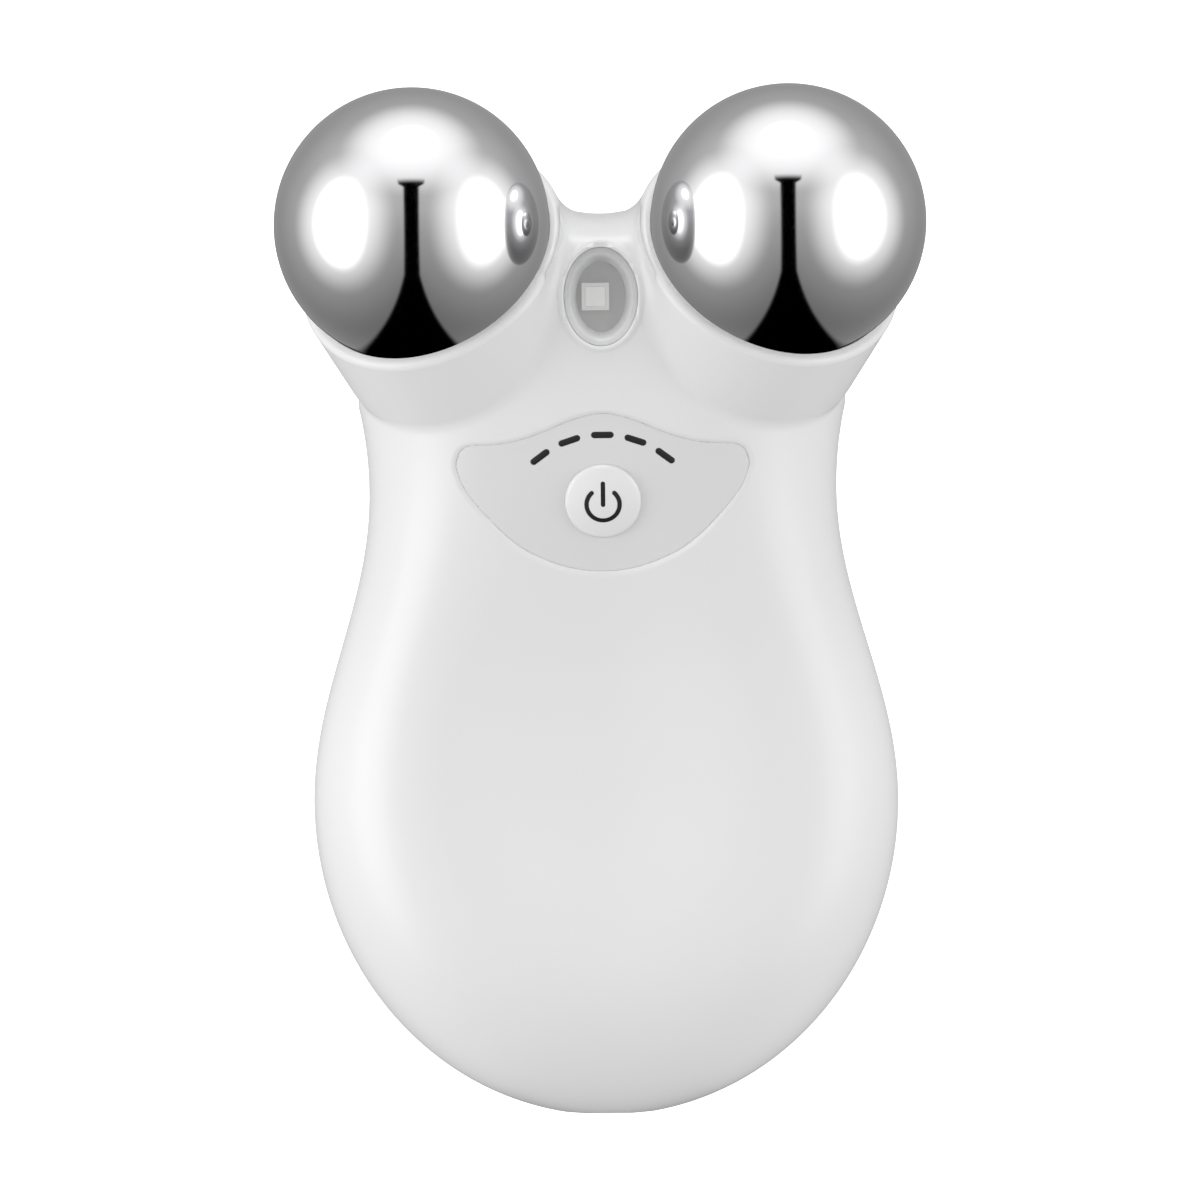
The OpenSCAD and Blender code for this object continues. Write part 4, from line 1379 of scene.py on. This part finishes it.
@dataclass
class ControlPanel:
    """The inlaid panel, its bars and the button."""

    shield: Shield
    button_d: float = 8.3
    button_gap: float = 0.02
    dome: float = 0.9
    dome_rise: float = 0.15
    edge: float = 0.36
    flange: float = 0.8
    bars: int = 5
    arc_r: float = 11.1
    arc_down: float = 4.0
    step: float = 18.9
    bar_l: float = 2.4
    bar_w: float = 0.65
    bar_t: float = 2.6
    bar_gap: float = 0.05
    bar_crown: float = 0.03
    ink_t: float = 0.02
    ink_up: float = 0.012

    def _stadium(self, length: float, width: float, along: np.ndarray, across: np.ndarray
                 ) -> tuple[np.ndarray, np.ndarray]:
        """Fits a unit grid to a strip with round ends.

        Args:
            length: Length over the ends.
            width: Width of the strip.
            along: Shares along the strip.
            across: Shares across it.

        Returns:
            Distances along and across, from the strip's middle.
        """
        r = width / 2
        s = length * (0.5 - 0.5 * np.cos(np.pi * along))
        end = np.clip(1 - np.minimum(s, length - s) / r, 0, 1)
        return s - length / 2, (2 * across - 1) * r * np.sqrt(1 - end ** 2)

    def bar_outline(self, index: int, grow: float) -> np.ndarray:
        """Outline of one bar in the plane of the panel.

        Args:
            index: Which bar, from the left.
            grow: How far the outline is grown.

        Returns:
            (n, 2) points.
        """
        r, half = self.bar_w / 2 + grow, (self.bar_l - self.bar_w) / 2
        a = np.linspace(-np.pi / 2, np.pi / 2, 13)
        end = np.column_stack([half + r * np.cos(a), r * np.sin(a)])
        return self._at_bar(index, np.concatenate([end, -end]))

    def _at_bar(self, index: int, p: np.ndarray) -> np.ndarray:
        """Points round the middle of one bar, in the plane of the panel.

        Args:
            index: Which bar, from the left.
            p: (n, 2) points round the middle of a level bar.

        Returns:
            The points moved and turned to the bar.
        """
        turn = math.radians((index - (self.bars - 1) / 2) * self.step)
        c, s = math.cos(turn), math.sin(turn)
        y = (self.arc_r * c - self.arc_down) / math.cos(self.shield.tilt)
        return p @ np.array([[c, -s], [s, c]]) + (self.arc_r * s, y)

    def build(self, skin: Thing, satin: bpy.types.Material, white: bpy.types.Material,
              dark: bpy.types.Material, ink: bpy.types.Material) -> None:
        """Makes the panel, the bars, the button and the mark on it.

        Args:
            skin: The uncut skin, used up here.
            satin: Finish of the panel.
            white: Finish of the button.
            dark: Finish of the bars.
            ink: Finish of the mark.
        """
        m, hole, clear = self.shield.matrix, self.button_d / 2 + self.button_gap, self.shield.clear
        skin.name = "control_panel_inlay"
        Bench.cut(skin, Bench.prism("inlay", self.shield.outline(0.0), -self.shield.depth, clear, m),
                  "INTERSECT")
        tool = [(0, -clear), (hole, -clear), (hole, 6), (0, 6)]
        Bench.cut(skin, Bench.lathe("hole", tool, 128, m))
        for i in range(self.bars):
            Bench.cut(skin, Bench.prism("slot", self.bar_outline(i, self.bar_gap), -clear, clear, m))
        Bench.finish(skin, 32)
        Dresser.put(skin, satin, "device", "panel_white", "control_panel")
        guide = Bench.join([self._bar(i) for i in range(self.bars)])
        guide.name = "indicator_bars"
        Bench.finish(guide, 40)
        Dresser.put(guide, dark, "device", "bar_dark", "indicator_light_guide")
        self._button(white, ink)

    def _bar(self, index: int) -> Thing:
        """One dark bar, flush in its slot.

        Args:
            index: Which bar, from the left.

        Returns:
            The new object.
        """
        def fit(along: np.ndarray, across: np.ndarray) -> np.ndarray:
            """Bends the strip to the bar in its slot.

            Args:
                along: Shares along the strip.
                across: Shares across it.

            Returns:
                (n, 3) points.
            """
            s, t = self._stadium(self.bar_l, self.bar_w, along, across)
            p = self._at_bar(index, np.column_stack([s, t]))
            crown = self.bar_crown * (1 - (2 * across - 1) ** 2)
            z = self.shield.surface(p[:, 0], p[:, 1]) + crown
            return Bench.moved(np.column_stack([p, z]), self.shield.matrix)
        return Bench.sheet("bar", 28, 8, fit, self.bar_t)

    def dome_z(self, rho: np.ndarray) -> np.ndarray:
        """Height of the button's top over the plane of the panel.

        Args:
            rho: Distances from the middle of the button.

        Returns:
            The heights.
        """
        r = self.button_d / 2
        big = (r * r + self.dome * self.dome) / (2 * self.dome)
        flat = r - self.edge
        z = self.dome + self.dome_rise - big + np.sqrt(big * big - np.minimum(rho, r) ** 2)
        fall = np.clip((rho - flat) / self.edge, 0, 1)
        return z - self.edge * (1 - np.sqrt(1 - fall ** 2 * 0.999))

    def _button(self, white: bpy.types.Material, ink: bpy.types.Material) -> None:
        """Makes the button and its mark.

        Args:
            white: Finish of the button.
            ink: Finish of the mark.
        """
        r, low = self.button_d / 2, -self.shield.depth - 0.05
        rho = np.concatenate([np.linspace(0, r - self.edge, 20),
                              r - self.edge + self.edge * np.sin(np.linspace(0.1, np.pi / 2, 12))])
        top = [(float(a), float(b)) for a, b in zip(rho, self.dome_z(rho))][::-1]
        profile = [(0, low - self.flange), (r + self.flange, low - self.flange),
                   (r + self.flange, low), (r, low), *top]
        profile[-1] = (0, profile[-1][1])
        cap = Bench.lathe("power_button_cap", profile, 128, self.shield.matrix)
        Bench.finish(cap, 50)
        Dresser.put(cap, white, "power_button", "button_white", "power_button")
        mark = Bench.join([self._mark_ring(), self._mark_bar()])
        mark.name = "power_mark"
        Bench.finish(mark, 40)
        Dresser.put(mark, ink, "power_button", "switch_black")

    def _on_dome(self, x: np.ndarray, y: np.ndarray) -> np.ndarray:
        """Places points of the mark a hair above the dome."""
        z = self.dome_z(np.hypot(x, y)) + self.ink_up
        return Bench.moved(np.column_stack([x, y, z]), self.shield.matrix)

    def _mark_ring(self) -> Thing:
        """The open ring of the mark.

        Returns:
            The new object.
        """
        radius, width, gap, drop = 1.8, 0.47, 43.0, 0.07

        def fit(along: np.ndarray, across: np.ndarray) -> np.ndarray:
            """Bends the strip to the ring on the dome.

            Args:
                along: Shares along the strip.
                across: Shares across it.

            Returns:
                (n, 3) points.
            """
            length = math.radians(360 - 2 * gap) * radius + width
            s, t = self._stadium(length, width, along, across)
            a = -np.pi / 2 + s / radius
            return self._on_dome((radius + t) * np.cos(a), (radius + t) * np.sin(a) - drop)
        return Bench.sheet("mark_ring", 96, 6, fit, self.ink_t)

    def _mark_bar(self) -> Thing:
        """The upright bar of the mark.

        Returns:
            The new object.
        """
        high, low, width = 2.5, -0.3, 0.48

        def fit(along: np.ndarray, across: np.ndarray) -> np.ndarray:
            """Bends the strip to the bar on the dome.

            Args:
                along: Shares along the strip.
                across: Shares across it.

            Returns:
                (n, 3) points.
            """
            s, t = self._stadium(high - low, width, along, across)
            return self._on_dome(-t, s + (high + low) / 2)
        return Bench.sheet("mark_bar", 32, 6, fit, self.ink_t)


@dataclass
class LightWindow:
    """The clear lens, the reflector under it and the light chip."""

    window: Window
    chip_side: float = 3.0
    chip_left: float = 0.6
    chip_h: float = 0.9
    frame_w: float = 0.4
    face_in: float = 0.42
    sunk: float = 0.25
    fit: float = 0.05
    crown: float = 0.25
    bowl_top: tuple[float, float] = (3.35, 4.65)
    bowl_foot: tuple[float, float] = (2.75, 3.9)

    def _oval_lathe(self, name: str, profile: Sequence[tuple[float, float, float]]) -> Thing:
        """Solid with oval sections.

        Args:
            name: Name of the new object.
            profile: Half width, half length and height of each ring.

        Returns:
            The new object.
        """
        steps = [(a, float(i)) for i, (a, _, _) in enumerate(profile)]
        obj = Bench.lathe(name, steps, 96)
        p = Bench.coords(obj)
        turn = np.arctan2(p[:, 1], p[:, 0])
        ring = np.round(p[:, 2]).astype(int)
        size = np.array(profile)[ring]
        hub = np.hypot(p[:, 0], p[:, 1]) < 1e-6
        x = np.where(hub, 0, size[:, 0] * np.cos(turn))
        y = np.where(hub, 0, size[:, 1] * np.sin(turn)) + self.window.form.window_y
        Bench.place(obj, np.column_stack([x, y, size[:, 2]]))
        return obj

    def build(self, clear: bpy.types.Material, grey: bpy.types.Material,
              pale: bpy.types.Material, border: bpy.types.Material) -> None:
        """Makes the lens, the reflector and the chip.

        Args:
            clear: Finish of the lens.
            grey: Finish of the reflector.
            pale: Finish of the chip's face, with a faint painted glow.
            border: Finish of the chip's frame.
        """
        w = self.window
        a, b = w.width / 2 - self.fit, w.length / 2 - self.fit
        rings = [(0, 0, 0), (a, b, 0), (a, b, 1)]
        shares = (0.97, 0.9, 0.8, 0.65, 0.45, 0.25)
        rings += [(a * s, b * s, 1 + i) for i, s in enumerate(shares, 1)]
        lens = self._oval_lathe("window_lens_clear", [*rings, (0, 0, 8)])
        p = Bench.coords(lens)
        top = p[:, 2] > 0.5
        rho = np.hypot(p[:, 0] / a, (p[:, 1] - w.form.window_y) / b)
        crown = w.form.skin_z(p[:, 0], p[:, 1]) - w.sink + self.crown * (1 - rho ** 2)
        p[:, 2] = np.where(top, crown, w.under)
        Bench.place(lens, p)
        Bench.finish(lens, 40)
        Dresser.put(lens, clear, "device", "lens_clear", "window_lens")
        self._bowl(grey)
        self._chip(pale, border)

    def _bowl(self, grey: bpy.types.Material) -> None:
        """Makes the reflector with its sloping inner wall.

        Args:
            grey: Finish of the reflector.
        """
        w, gap = self.window, self.fit
        a, b = w.width / 2 - gap, w.length / 2 - gap
        (ta, tb), (fa, fb) = self.bowl_top, self.bowl_foot
        high, low, lip, soft, floor_t, bend = w.under - gap, w.floor, 0.15, 0.12, 0.3, 1.6
        profile = [(a, b, low), (a, b, high), (ta + lip, tb + lip, high), (ta, tb, high - soft)]
        for t in np.linspace(0, 1, 7)[1:]:
            fall = (low + floor_t - high) * t ** bend
            profile.append((ta + (fa - ta) * t, tb + (fb - tb) * t, high - soft + fall))
        profile.append((fa - gap, fb - gap, low))
        bowl = self._oval_lathe("window_reflector_bowl", profile)
        Bench.finish(bowl, 35)
        Dresser.put(bowl, grey, "device", "reflector_grey", "window_reflector")

    def _chip(self, pale: bpy.types.Material, border: bpy.types.Material) -> None:
        """Makes the light chip: a frame round a sunk pale face, whose finish glows faintly as painted
        light although the chip is unlit.

        Args:
            pale: Finish of the chip's face, with a faint painted glow.
            border: Finish of the chip's frame.
        """
        half, foot = self.chip_side / 2, self.window.floor
        spot, top = (-self.chip_left, self.window.form.window_y), foot + self.chip_h
        ring = Bench.prism("window_led_frame", SQUARE * half + spot, foot, top)
        Bench.cut(ring, Bench.prism("sunk", SQUARE * (half - self.frame_w) + spot,
                                    top - self.sunk, foot + 3))
        Bench.bevel(ring, 0.08)
        Bench.finish(ring, 30)
        Dresser.put(ring, border, "device", "led_cream", "window_led")
        # The face's finish glows faintly: painted light, not a lit chip.
        face = Bench.prism("window_led_face", SQUARE * (half - self.face_in) + spot,
                           top - 0.26, top - 0.1)
        Bench.bevel(face, 0.06)
        Bench.finish(face, 30)
        Dresser.put(face, pale, "device", "led_cream")


@dataclass
class BackDetails:
    """What shows on the back: the soft plugs over the case screws."""

    form: BodyForm
    posts: tuple[tuple[float, float], ...]
    plug_r: float = 2.34
    sink: float = 0.3
    top: float = 4.9

    def build(self, soft: bpy.types.Material) -> None:
        """Makes the soft plugs over the case screws.

        Args:
            soft: Finish of the plugs.
        """
        obj = Bench.join([self._plug(x, y) for x, y in self.posts])
        obj.name = "screw_plugs_soft"
        Bench.finish(obj, 40)
        Dresser.put(obj, soft, "device", "plug_white", "screw_plugs")

    def back_surface(self, x: np.ndarray, y: np.ndarray) -> np.ndarray:
        """Height of the back's skin, cut flat where it rests."""
        up = over(np.abs(x) / self.form.half_w(y), self.form.back_square, self.form.back_square)
        return np.maximum(0.0, self.form.part_z(y) - self.form.back_h(y) * up)

    def _plug(self, x: float, y: float) -> Thing:
        """One plug, whose face follows the back a little below it.

        Args:
            x: Place across the body.
            y: Place along it.

        Returns:
            The new object.
        """
        r = self.plug_r
        profile = [(0, self.top), (r, self.top), (r, 0.12), (r * 0.97, 0.03), (r * 0.9, 0),
                   (r * 0.6, 0), (0, 0)]
        obj = Bench.lathe("plug", profile, 64, Matrix.Translation((x, y, 0)))
        p = Bench.coords(obj)
        low = p[:, 2] < 0.5
        p[low, 2] += self.back_surface(p[low, 0], p[low, 1]) + self.sink
        Bench.place(obj, p)
        return obj


@dataclass(frozen=True)
class SoftBox:
    """One round light of the surroundings, seen only in reflections."""

    to: tuple[float, float, float]
    wide: float
    strength: float
    core: float = 0.0
    long: float = 1.0

    def light(self, maths: NodeMaths, way: Sequence[bpy.types.NodeSocket]) -> bpy.types.NodeSocket:
        """Light from one direction.

        Args:
            maths: Makes the nodes.
            way: The three parts of the direction.

        Returns:
            A socket that fades from the full strength within the core to 0 at the width.
        """
        size = math.sqrt(sum(v * v for v in self.to))
        near = 1.0
        for part, aim, pace in zip(way, self.to, (1.0, self.long, 1.0)):
            gap = maths.add(part, -aim / size)
            near = maths.add(near, maths.times(maths.times(gap, gap), -0.5 * pace * pace))
        return maths.ramp(near, math.cos(math.radians(self.wide)),
                          math.cos(math.radians(self.core)), 0.0, self.strength, True)


LEFT, RIGHT, TOP = (-0.9, 0.03, 0.43), (0.9, 0.03, 0.43), (0.0, 0.96, 0.28)
SOFT_BOXES = (
    SoftBox(TOP, 85.0, 0.16), SoftBox(TOP, 52.0, 0.75), SoftBox(TOP, 20.0, 3.6, core=2.0),
    SoftBox(LEFT, 85.0, 0.18), SoftBox(LEFT, 54.0, 0.75), SoftBox(LEFT, 30.0, 1.9, long=0.8),
    SoftBox(RIGHT, 85.0, 0.16), SoftBox(RIGHT, 54.0, 0.73), SoftBox(RIGHT, 30.0, 1.1, long=0.8))


@dataclass
class Studio:
    """Floor, lamps, surroundings and camera."""

    view_mm: float = 130.49
    centre_x: float = -0.45
    roll: float = -0.63
    camera_up: float = 0.6
    lamp_away: float = 0.7
    paper: float = 0.85
    paper_glow: float = 0.78
    even_light: float = 0.64

    def build(self) -> None:
        """Sets up the whole studio."""
        self._camera()
        self._floor()
        self._world()
        aim = Vector((0, 0, 0.02))
        for name, azimuth, elevation, power, size in (
                ("lamp_left", 180.0, 24.0, 1.8, 0.42), ("lamp_right", 0.0, 24.0, 1.2, 0.42),
                ("lamp_top", 90.0, 16.0, 1.3, 0.45)):
            self._lamp(name, aim, azimuth, elevation, power, size)
        bpy.context.scene.view_settings.view_transform = "Standard"

    def _camera(self) -> None:
        """Adds the camera, straight over the part as in the photograph."""
        Bench.clear()
        bpy.ops.object.camera_add(location=(self.centre_x * MM, 0, self.camera_up),
                                  rotation=(0, 0, math.radians(self.roll)))
        camera = bpy.context.object
        camera.data.type = "ORTHO"
        camera.data.ortho_scale = self.view_mm * MM
        camera.data.clip_start, camera.data.clip_end = 0.01, 10
        bpy.context.scene.camera = camera

    def _floor(self) -> None:
        """Adds the pale floor, which keeps the shadow."""
        Bench.clear()
        bpy.ops.mesh.primitive_plane_add(size=6, location=(0, 0, -0.0001))
        floor = bpy.context.object
        floor.name = "floor"
        floor.visible_glossy = False
        mat = bpy.data.materials.new("floor_paper")
        mat.use_nodes = True
        tree = mat.node_tree
        tree.nodes.clear()
        path = tree.nodes.new("ShaderNodeLightPath")
        paper = tree.nodes.new("ShaderNodeBsdfDiffuse")
        paper.inputs["Color"].default_value = (self.paper, self.paper, self.paper, 1)
        glow = tree.nodes.new("ShaderNodeEmission")
        both = tree.nodes.new("ShaderNodeAddShader")
        out = tree.nodes.new("ShaderNodeOutputMaterial")
        level = NodeMaths(tree).times(path.outputs["Is Camera Ray"], self.paper_glow)
        tree.links.new(level, glow.inputs["Strength"])
        tree.links.new(paper.outputs["BSDF"], both.inputs[0])
        tree.links.new(glow.outputs["Emission"], both.inputs[1])
        tree.links.new(both.outputs["Shader"], out.inputs["Surface"])
        floor.data.materials.append(mat)

    def _lamp(self, name: str, aim: Vector, azimuth: float, elevation: float,
              power: float, size: float) -> None:
        """Adds one soft lamp that lights only matt surfaces.

        Args:
            name: Name of the lamp.
            aim: Where it points.
            azimuth: Its direction in plan, in degrees from +X.
            elevation: Its height over the floor, in degrees.
            power: Its power in watts.
            size: Its width in metres.
        """
        a, e = math.radians(azimuth), math.radians(elevation)
        out = Vector((math.cos(a) * math.cos(e), math.sin(a) * math.cos(e), math.sin(e)))
        Bench.clear()
        bpy.ops.object.light_add(type="AREA", location=aim + out * self.lamp_away)
        lamp = bpy.context.object
        lamp.name = name
        lamp.data.shape = "DISK"
        lamp.data.size = size
        lamp.data.energy = power
        lamp.rotation_euler = out.to_track_quat("Z", "Y").to_euler()
        lamp.visible_glossy = False

    def _world(self) -> None:
        """Sets the surroundings: white behind, soft boxes in reflections, even light."""
        world = bpy.data.worlds.new("studio")
        bpy.context.scene.world = world
        world.use_nodes = True
        world.cycles.sampling_method = "NONE"
        tree = world.node_tree
        tree.nodes.clear()
        maths = NodeMaths(tree)
        where = tree.nodes.new("ShaderNodeTexCoord")
        split = tree.nodes.new("ShaderNodeSeparateXYZ")
        tree.links.new(where.outputs["Generated"], split.inputs["Vector"])
        x, y, z = (split.outputs[k] for k in "XYZ")
        level = maths.ramp(y, -0.95, 0.2, 0.17, 0.34)
        for box in SOFT_BOXES:
            level = maths.add(level, box.light(maths, (x, y, z)))
        path = tree.nodes.new("ShaderNodeLightPath")
        again = maths.ramp(path.outputs["Glossy Depth"], 1.4, 1.6, 0.0, 1.0)
        level = maths.times(level, maths.most(self._strip(maths, x, y, z), again))
        behind = maths.mix(path.outputs["Is Glossy Ray"], self.even_light, level)
        value = maths.mix(path.outputs["Is Camera Ray"], behind, 1.0)
        back = tree.nodes.new("ShaderNodeBackground")
        out = tree.nodes.new("ShaderNodeOutputWorld")
        tree.links.new(value, back.inputs["Color"])
        tree.links.new(back.outputs["Background"], out.inputs["Surface"])

    @staticmethod
    def _strip(maths: NodeMaths, x: bpy.types.NodeSocket, y: bpy.types.NodeSocket,
               z: bpy.types.NodeSocket) -> bpy.types.NodeSocket:
        """The dark strip that the balls mirror: narrow above, wide below.

        Args:
            maths: Makes the nodes.
            x: First part of the direction.
            y: Second part of the direction.
            z: Third part of the direction.

        Returns:
            A socket that is 0 in the strip and 1 outside it.
        """
        low = maths.most(maths.times(y, -1.0), 0.0)
        spread = maths.add(maths.times(z, -0.15), 0.26)
        past = maths.add(maths.times(y, 0.8), maths.times(z, -0.6))
        cap = maths.times(maths.ramp(past, -0.09, -0.02, 0.0, 0.07, True),
                          maths.ramp(y, 0.2, 0.3, 0.0, 1.0))
        half = maths.add(maths.most(maths.times(low, spread), 0.1), cap)
        edge = maths.add(maths.size(x), maths.times(half, -1.0))
        side = maths.ramp(edge, -0.015, 0.03, 0.0, 1.0, True)
        end = maths.times(maths.ramp(past, -0.03, 0.07, 0.0, 1.0, True),
                          maths.ramp(y, 0.0, 0.05, 0.0, 1.0))
        return maths.most(side, end)


FINISHES = {
    "shell_white": Finish("glossy_white", (0.86, 0.86, 0.865), 0.25, tone=0.006, wear=0.03,
                          cell=0.3, relief=0.002),
    "panel_white": Finish("satin_inlay", (0.78, 0.78, 0.785), 0.34, tone=0.008, cell=0.25,
                          relief=0.002),
    "button_white": Finish("button_white", (0.86, 0.86, 0.865), 0.3, tone=0.005, cell=0.25,
                           relief=0.0015),
    "ball_metal": Finish("mirror_plate", (0.79, 0.79, 0.8), 0.06, 1.0, Grain.MIRROR,
                         tone=0.01, wear=0.02, cell=0.8, relief=0.0004),
    "seal_rubber": Finish("silicone", (0.6, 0.6, 0.6), 0.5, tone=0.04),
    "contact_brass": Finish("stamped_brass", (0.75, 0.55, 0.25), 0.3, 1.0, Grain.BRUSHED),
    "steel_screw": Finish("zinc_plate", (0.55, 0.56, 0.58), 0.35, 1.0, Grain.BRUSHED,
                          tone=0.05, wear=0.08),
    "bar_dark": Finish("dark_guide", (0.022, 0.022, 0.024), 0.3, tone=0.1, cell=0.2,
                       relief=0.001),
    # The chip's face glows faintly although the light is off: painted light that lifts its shaded
    # face.
    "led_cream": Finish("phosphor_painted_glow", (0.93, 0.93, 0.9), 0.5, tone=0.04, cell=0.08, relief=0.004,
                        glow=0.1),
    "switch_black": Finish("ink_black", (0.008, 0.008, 0.008), 0.45, tone=0.1, cell=0.1,
                           relief=0.0005),
    "lens_clear": Finish("clear_lens", (0.95, 0.96, 0.96), 0.05, grain=Grain.CLEAR, tone=0.004,
                         wear=0.01, alpha=0.1, relief=0.0005),
    "reflector_grey": Finish("reflector", (0.86, 0.86, 0.87), 0.3, tone=0.1, wear=0.1,
                             cell=0.3, relief=0.03),
    "led_board_white": Finish("white_mask", (0.5, 0.5, 0.49), 0.4, grain=Grain.TRACKS,
                              tone=0.1, cell=0.8, relief=0.02),
    "board_green": Finish("green_mask", (0.02, 0.17, 0.07), 0.3, grain=Grain.TRACKS, tone=0.15,
                          cell=1.4, relief=0.03),
    "chip_black": Finish("epoxy", (0.02, 0.02, 0.02), 0.6, tone=0.1, cell=0.1, relief=0.01),
    "coil_copper": Finish("ferrite", (0.12, 0.09, 0.07), 0.6, grain=Grain.WOUND, tone=0.1,
                          cell=0.4, relief=0.05),
    "capacitor_tan": Finish("ceramic", (0.45, 0.32, 0.18), 0.5, tone=0.06, cell=0.2),
    "battery_foil": Finish("foil_pouch", (0.62, 0.63, 0.65), 0.3, 1.0, tone=0.04, wear=0.08,
                           cell=2.0, relief=0.08),
    "foam_grey": Finish("foam", (0.06, 0.06, 0.06), 0.9, grain=Grain.FOAM, tone=0.15, cell=0.5,
                        relief=0.1),
    "socket_metal": Finish("plated_sheet", (0.62, 0.63, 0.64), 0.28, 1.0, Grain.BRUSHED,
                           tone=0.04),
    "lead_red": Finish("red_lead", (0.45, 0.02, 0.02), 0.5, tone=0.05, cell=0.3),
    "lead_blue": Finish("blue_lead", (0.02, 0.05, 0.3), 0.5, tone=0.05, cell=0.3),
    "lead_yellow": Finish("yellow_lead", (0.65, 0.45, 0.03), 0.5, tone=0.05, cell=0.3),
    "connector_ivory": Finish("nylon", (0.78, 0.73, 0.6), 0.45, tone=0.03, cell=0.2),
    "plug_white": Finish("soft_plug", (0.74, 0.74, 0.74), 0.55, tone=0.01, cell=0.3),
}


def main() -> None:
    """Builds the dressed part and the studio round it."""
    logging.basicConfig(level=logging.INFO, format="%(message)s")
    mats = {slot: finish.material() for slot, finish in FINISHES.items()}
    for row in frame["record"]["subparts"]:
        Dresser.keep(row["node"], mats[row["material_slot"]])
    frame_mat = Finish("chip_frame", (0.94, 0.94, 0.93), 0.4, tone=0.02, cell=0.1).material()
    form = BodyForm()
    seats = (BallSeat(-1), BallSeat(1))
    shield, window = Shield(form), Window(form)
    housing = Housing(form, seats, shield, window)
    skin = housing.build(mats["shell_white"])
    BallPair(seats).build(mats["ball_metal"])
    ControlPanel(shield).build(skin, mats["panel_white"], mats["button_white"],
                               mats["bar_dark"], mats["switch_black"])
    LightWindow(window).build(mats["lens_clear"], mats["reflector_grey"], mats["led_cream"],
                              frame_mat)
    BackDetails(form, housing.posts).build(mats["plug_white"])
    Studio().build()


if __name__ == "__main__":
    main()
